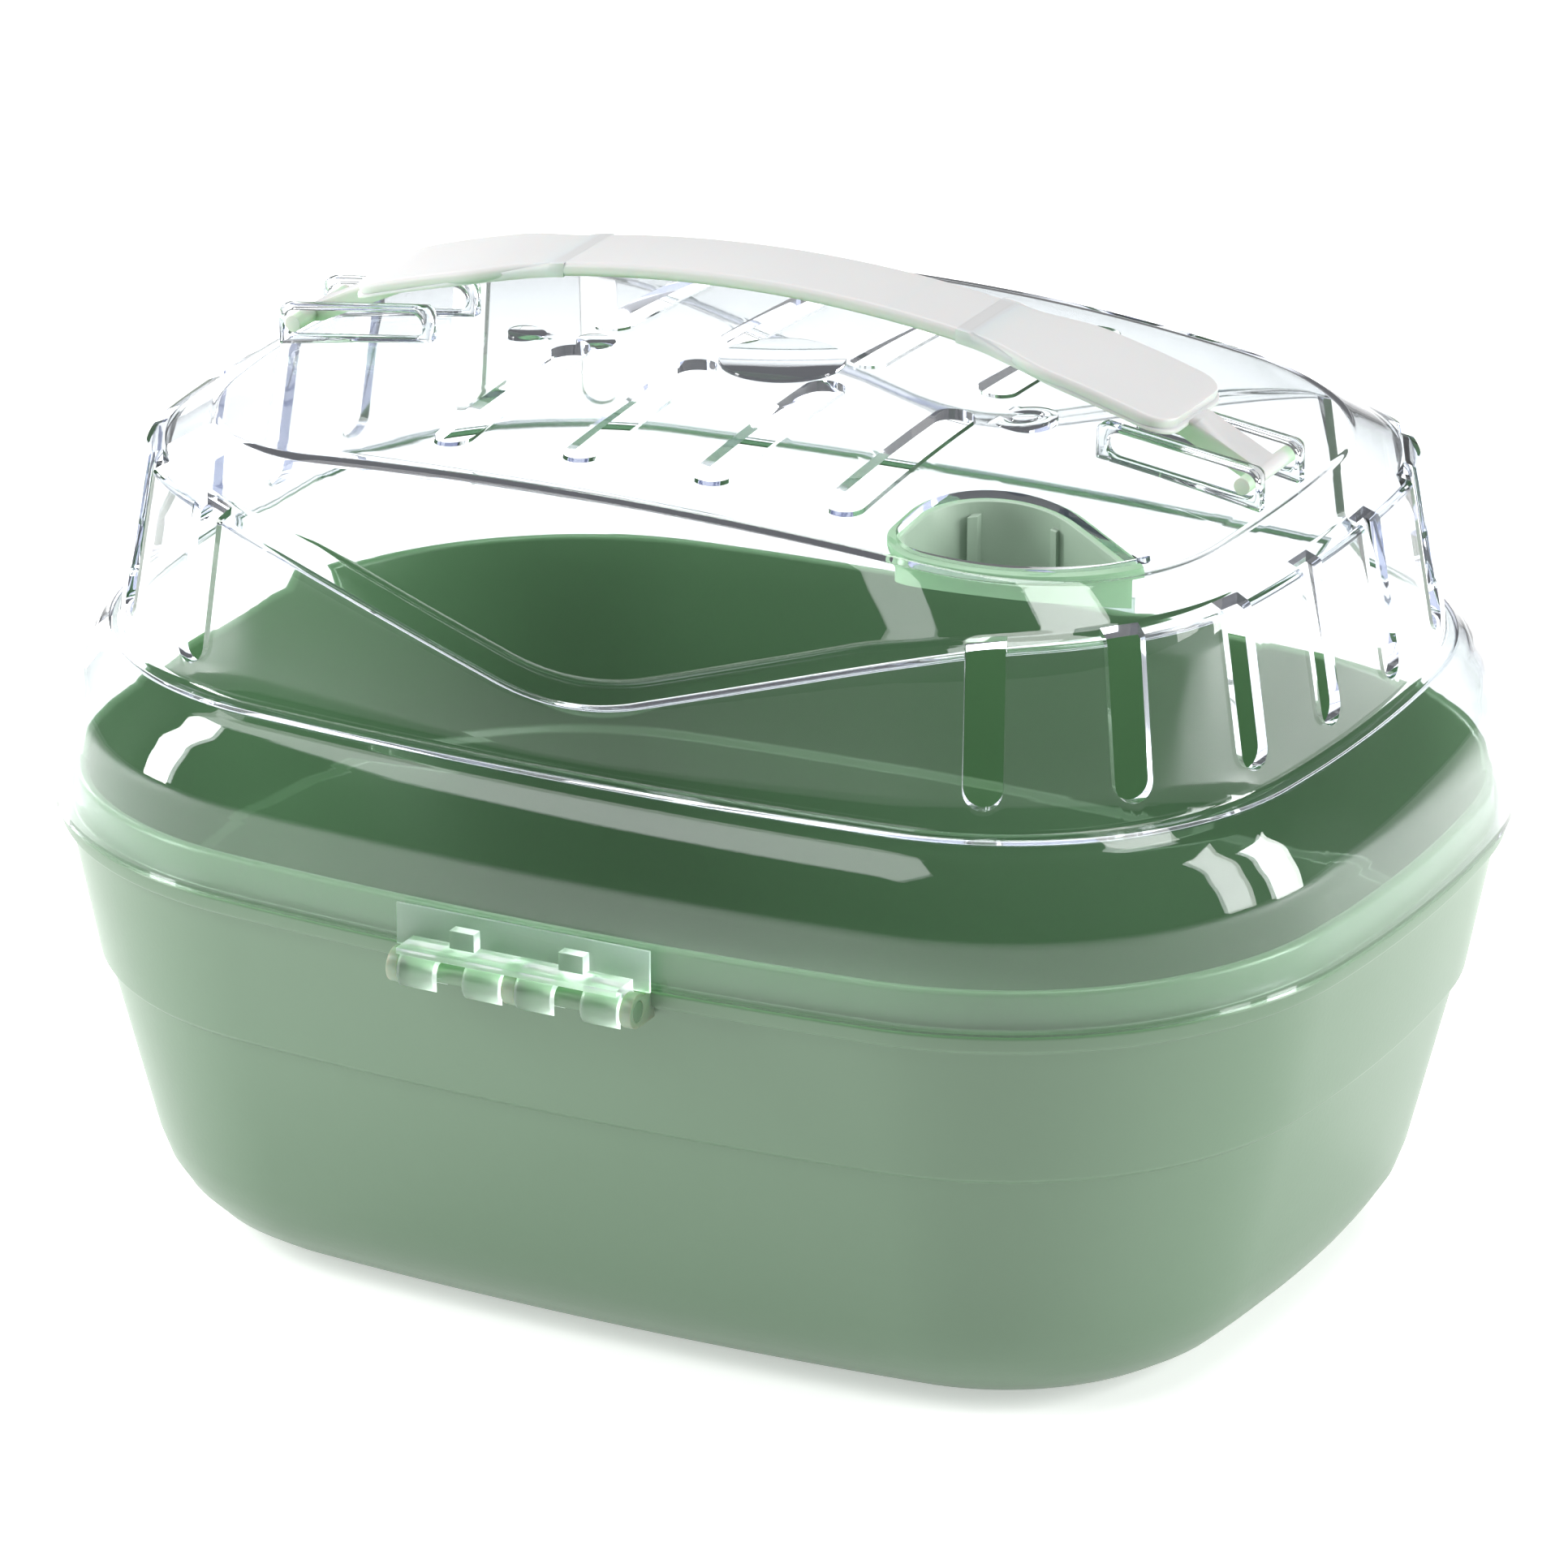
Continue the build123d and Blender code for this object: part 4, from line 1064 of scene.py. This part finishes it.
@dataclass
class StrapHandle:
    """Flexible white strap: a grip and two ends, which on the real strap bend at the shoulders."""

    finishes: Finishes
    half_length: float = 0.095
    rise: float = 0.0152
    top: float = 0.2112
    width: float = 0.0224
    end_width: float = 0.030
    widens_from: float = 0.051
    widens_to: float = 0.069
    corner: float = 0.006
    edge: float = 0.0013
    thickness: float = 0.003
    joint: float = 0.045
    bend_reach: float = 0.014
    seam: float = 0.030
    neck_middle: float = 0.0885
    neck_overlap: float = 0.0006
    neck_rounding: float = 0.0004

    def radius(self) -> float:
        """Radius of the strap's top face."""
        return (self.half_length**2 + self.rise**2) / (2 * self.rise)

    def surface_z(self, x: float) -> float:
        """Height of the strap's top face at a distance along it."""
        radius = self.radius()
        return self.top - radius + sqrt(radius**2 - x * x)

    def section(self, x: float, half_width: float) -> Ring:
        """Rounded cross-section of the strap.

        Args:
            x: Distance along the strap.
            half_width: Half the width there.

        Returns:
            Points round the section.
        """
        edge = min(self.edge, half_width * 0.9)
        top = self.surface_z(x)
        lean = x / self.radius()
        ring = []
        centres = (
            (half_width - edge, -edge, 0.0),
            (-half_width + edge, -edge, pi / 2),
            (-half_width + edge, edge - self.thickness, pi),
            (half_width - edge, edge - self.thickness, 3 * pi / 2),
        )
        for cy, cz, start in centres:
            for k in range(6):
                angle = start + k * pi / 10
                y = cy + edge * cos(angle)
                z = cz + edge * sin(angle)
                ring.append(Vector((x + z * lean, y, top + z)))
        return ring

    def stretch(self, name: str, stations: list[tuple[float, float]]) -> bpy.types.Object:
        """Piece of strap through a run of stations.

        Args:
            name: Name of the piece.
            stations: Distances along the strap with the half width at each.

        Returns:
            The closed piece.
        """
        surface = RingSurface(name, self.section(*stations[0]))
        surface.close()
        for station in stations[1:]:
            surface.grow(self.section(*station))
        surface.close()
        piece = surface.finish()
        face_outwards(piece)
        smooth_by_angle(piece, 40)
        return piece

    def stations(self, start: float, end: float, round_end: bool) -> list[tuple[float, float]]:
        """Stations along part of the strap, closing round at its end if asked."""
        corner = self.corner
        last = end - corner if round_end else end
        count = 30
        places = [start + (last - start) * k / count for k in range(count + 1)]
        made = [(x, self.half_width(x)) for x in places]
        if round_end:
            for k in range(1, 11):
                angle = k / 10 * pi / 2 * 0.97
                made.append((last + corner * sin(angle), self.end_width / 2 - corner * (1 - cos(angle))))
        return made

    def half_width(self, x: float) -> float:
        """Half the strap's width, which grows smoothly towards its ends."""
        share = (abs(x) - self.widens_from) / (self.widens_to - self.widens_from)
        share = min(max(share, 0.0), 1.0)
        growth = share * share * (3 - 2 * share)
        return (self.width + (self.end_width - self.width) * growth) / 2

    def neck(self, name: str) -> bpy.types.Object:
        """Neck and cross pin under the right-hand end, from the CAD arm's lower part."""
        piece = softened_copy("handle_arm_right", name, self.neck_rounding)
        height = self.surface_z(self.neck_middle) - self.thickness + self.neck_overlap
        lean = self.neck_middle / self.radius()
        make_active(piece)
        bpy.ops.object.mode_set(mode="EDIT")
        bpy.ops.mesh.select_all(action="SELECT")
        bpy.ops.mesh.bisect(
            plane_co=(self.neck_middle, 0.0, height),
            plane_no=(lean, 0.0, 1.0),
            use_fill=True,
            clear_outer=True,
        )
        bpy.ops.object.mode_set(mode="OBJECT")
        return piece

    def build(self) -> list[bpy.types.Object]:
        """Make the grip and both ends, and put the grip on its body; the ends are baked in place."""
        grip = self.stretch("strap_grip", self.stations(-self.seam, self.seam, False))
        self.finishes.put(grip, Finish.STRAP)
        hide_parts("handle_grip")
        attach(grip, "grip")
        made = [grip]
        sides = {"right": 1.0, "left": -1.0}
        ends = {name: self.end_piece(name, side) for name, side in sides.items()}
        for name, side in sides.items():
            piece = ends[name]
            self.finishes.put(piece, Finish.STRAP)
            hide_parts("handle_arm_" + name)
            z = self.surface_z(self.joint) - self.thickness
            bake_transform(piece)
            made.append(piece)
        return made

    def end_piece(self, name: str, side: float) -> bpy.types.Object:
        """One end of the strap with its neck and pin.

        Args:
            name: "left" or "right".
            side: 1.0 on the right, -1.0 on the left.

        Returns:
            The piece.
        """
        strap = self.stretch("strap_" + name, self.stations(self.seam, self.half_length, True))
        neck = self.neck("strap_neck_" + name)
        deselect_all()
        neck.select_set(True)
        strap.select_set(True)
        bpy.context.view_layer.objects.active = strap
        bpy.ops.object.join()
        if side < 0:
            bpy.ops.object.mode_set(mode="EDIT")
            bpy.ops.mesh.select_all(action="SELECT")
            bpy.ops.transform.mirror(constraint_axis=(True, False, False), center_override=(0, 0, 0))
            bpy.ops.mesh.flip_normals()
            bpy.ops.object.mode_set(mode="OBJECT")
            face_outwards(strap)
        return strap


# ------------------------------------------------------------------ studio
@dataclass
class Studio:
    """Pale floor, soft lights and a camera where the photographer stood."""

    azimuth: float = 27.27
    elevation: float = 21.58
    distance: float = 2.2
    target_height: float = 0.092
    lens: float = 239.6
    shift_x: float = 0.001
    shift_y: float = 0.0109
    paper: float = 0.93
    paper_glow: float = 0.42
    room_light: float = 0.20

    def camera(self) -> None:
        """Place the camera."""
        a, e = radians(self.azimuth), radians(self.elevation)
        back = Vector((sin(a) * cos(e), -cos(a) * cos(e), sin(e)))
        target = Vector((0.0, 0.0, self.target_height))
        bpy.ops.object.camera_add(location=target + back * self.distance)
        camera = bpy.context.object
        camera.rotation_euler = (-back).to_track_quat("-Z", "Y").to_euler()
        camera.data.lens = self.lens
        camera.data.shift_x = self.shift_x
        camera.data.shift_y = self.shift_y
        camera.data.clip_end = 20.0
        bpy.context.scene.camera = camera

    def floor(self) -> None:
        """Lay a wide, nearly white floor."""
        deselect_all()
        bpy.ops.mesh.primitive_circle_add(vertices=96, radius=7.0, fill_type="NGON")
        floor = bpy.context.object
        floor.name = "studio_floor"
        material = bpy.data.materials.new("studio paper")
        material.use_nodes = True
        shader = material.node_tree.nodes["Principled BSDF"]
        shader.inputs["Base Color"].default_value = (self.paper, self.paper, self.paper, 1.0)
        shader.inputs["Roughness"].default_value = 0.9
        shader.inputs["Specular IOR Level"].default_value = 0.1
        shader.inputs["Emission Color"].default_value = (1.0, 1.0, 1.0, 1.0)
        shader.inputs["Emission Strength"].default_value = self.paper_glow
        dress(floor, material)

    def lamp(self, name: str, place: Vector, size: tuple[float, float], power: float) -> None:
        """Add a rectangular soft light that faces the carrier.

        Args:
            name: Name of the light.
            place: Where it hangs.
            size: Its width and height.
            power: Its power in watts.
        """
        bpy.ops.object.light_add(type="AREA", location=place)
        light = bpy.context.object
        light.name = name
        light.data.shape = "RECTANGLE"
        light.data.size, light.data.size_y = size
        light.data.energy = power
        aim = Vector((0.0, 0.0, 0.1)) - place
        light.rotation_euler = aim.to_track_quat("-Z", "Y").to_euler()

    def world(self) -> None:
        """Light the room evenly from all round."""
        world = bpy.data.worlds.new("studio world")
        bpy.context.scene.world = world
        world.use_nodes = True
        nodes = world.node_tree.nodes
        nodes["Background"].inputs["Color"].default_value = (1.0, 1.0, 1.0, 1.0)
        nodes["Background"].inputs["Strength"].default_value = self.room_light

    def build(self) -> None:
        """Set up the whole studio."""
        self.camera()
        self.floor()
        self.world()
        self.lamp("overhead", Vector((0.1, 0.35, 1.6)), (1.9, 0.42), 18.0)
        self.lamp("left_strip", Vector((-1.35, -0.75, 0.65)), (0.28, 1.1), 22.0)
        self.lamp("right_strip", Vector((1.5, 0.15, 0.65)), (0.28, 1.1), 8.0)
        self.lamp("high_front", Vector((-0.85, -1.05, 1.60)), (1.9, 0.55), 12.0)
        self.lamp("rear_left_strip", Vector((-1.3, 0.75, 0.5)), (0.3, 0.9), 20.0)
        self.lamp("rear_right_strip", Vector((1.38, 0.58, 0.5)), (0.3, 0.9), 15.0)
        bpy.context.scene.view_settings.view_transform = "Standard"


# ------------------------------------------------------------------ everything
def main() -> None:
    """Build the studio and the carrier, and report each piece."""
    logging.basicConfig(level=logging.INFO, format="%(name)s: %(message)s")
    Studio().build()
    finishes = Finishes()
    pieces = [Tub(finishes).build(), Lid(finishes).build()]
    pieces += SmallMouldings(finishes).build()
    pieces += StrapHandle(finishes).build()
    for piece in pieces:
        LOG.info("%s: %d faces", piece.name, len(piece.data.polygons))


if __name__ == "__main__":
    main()
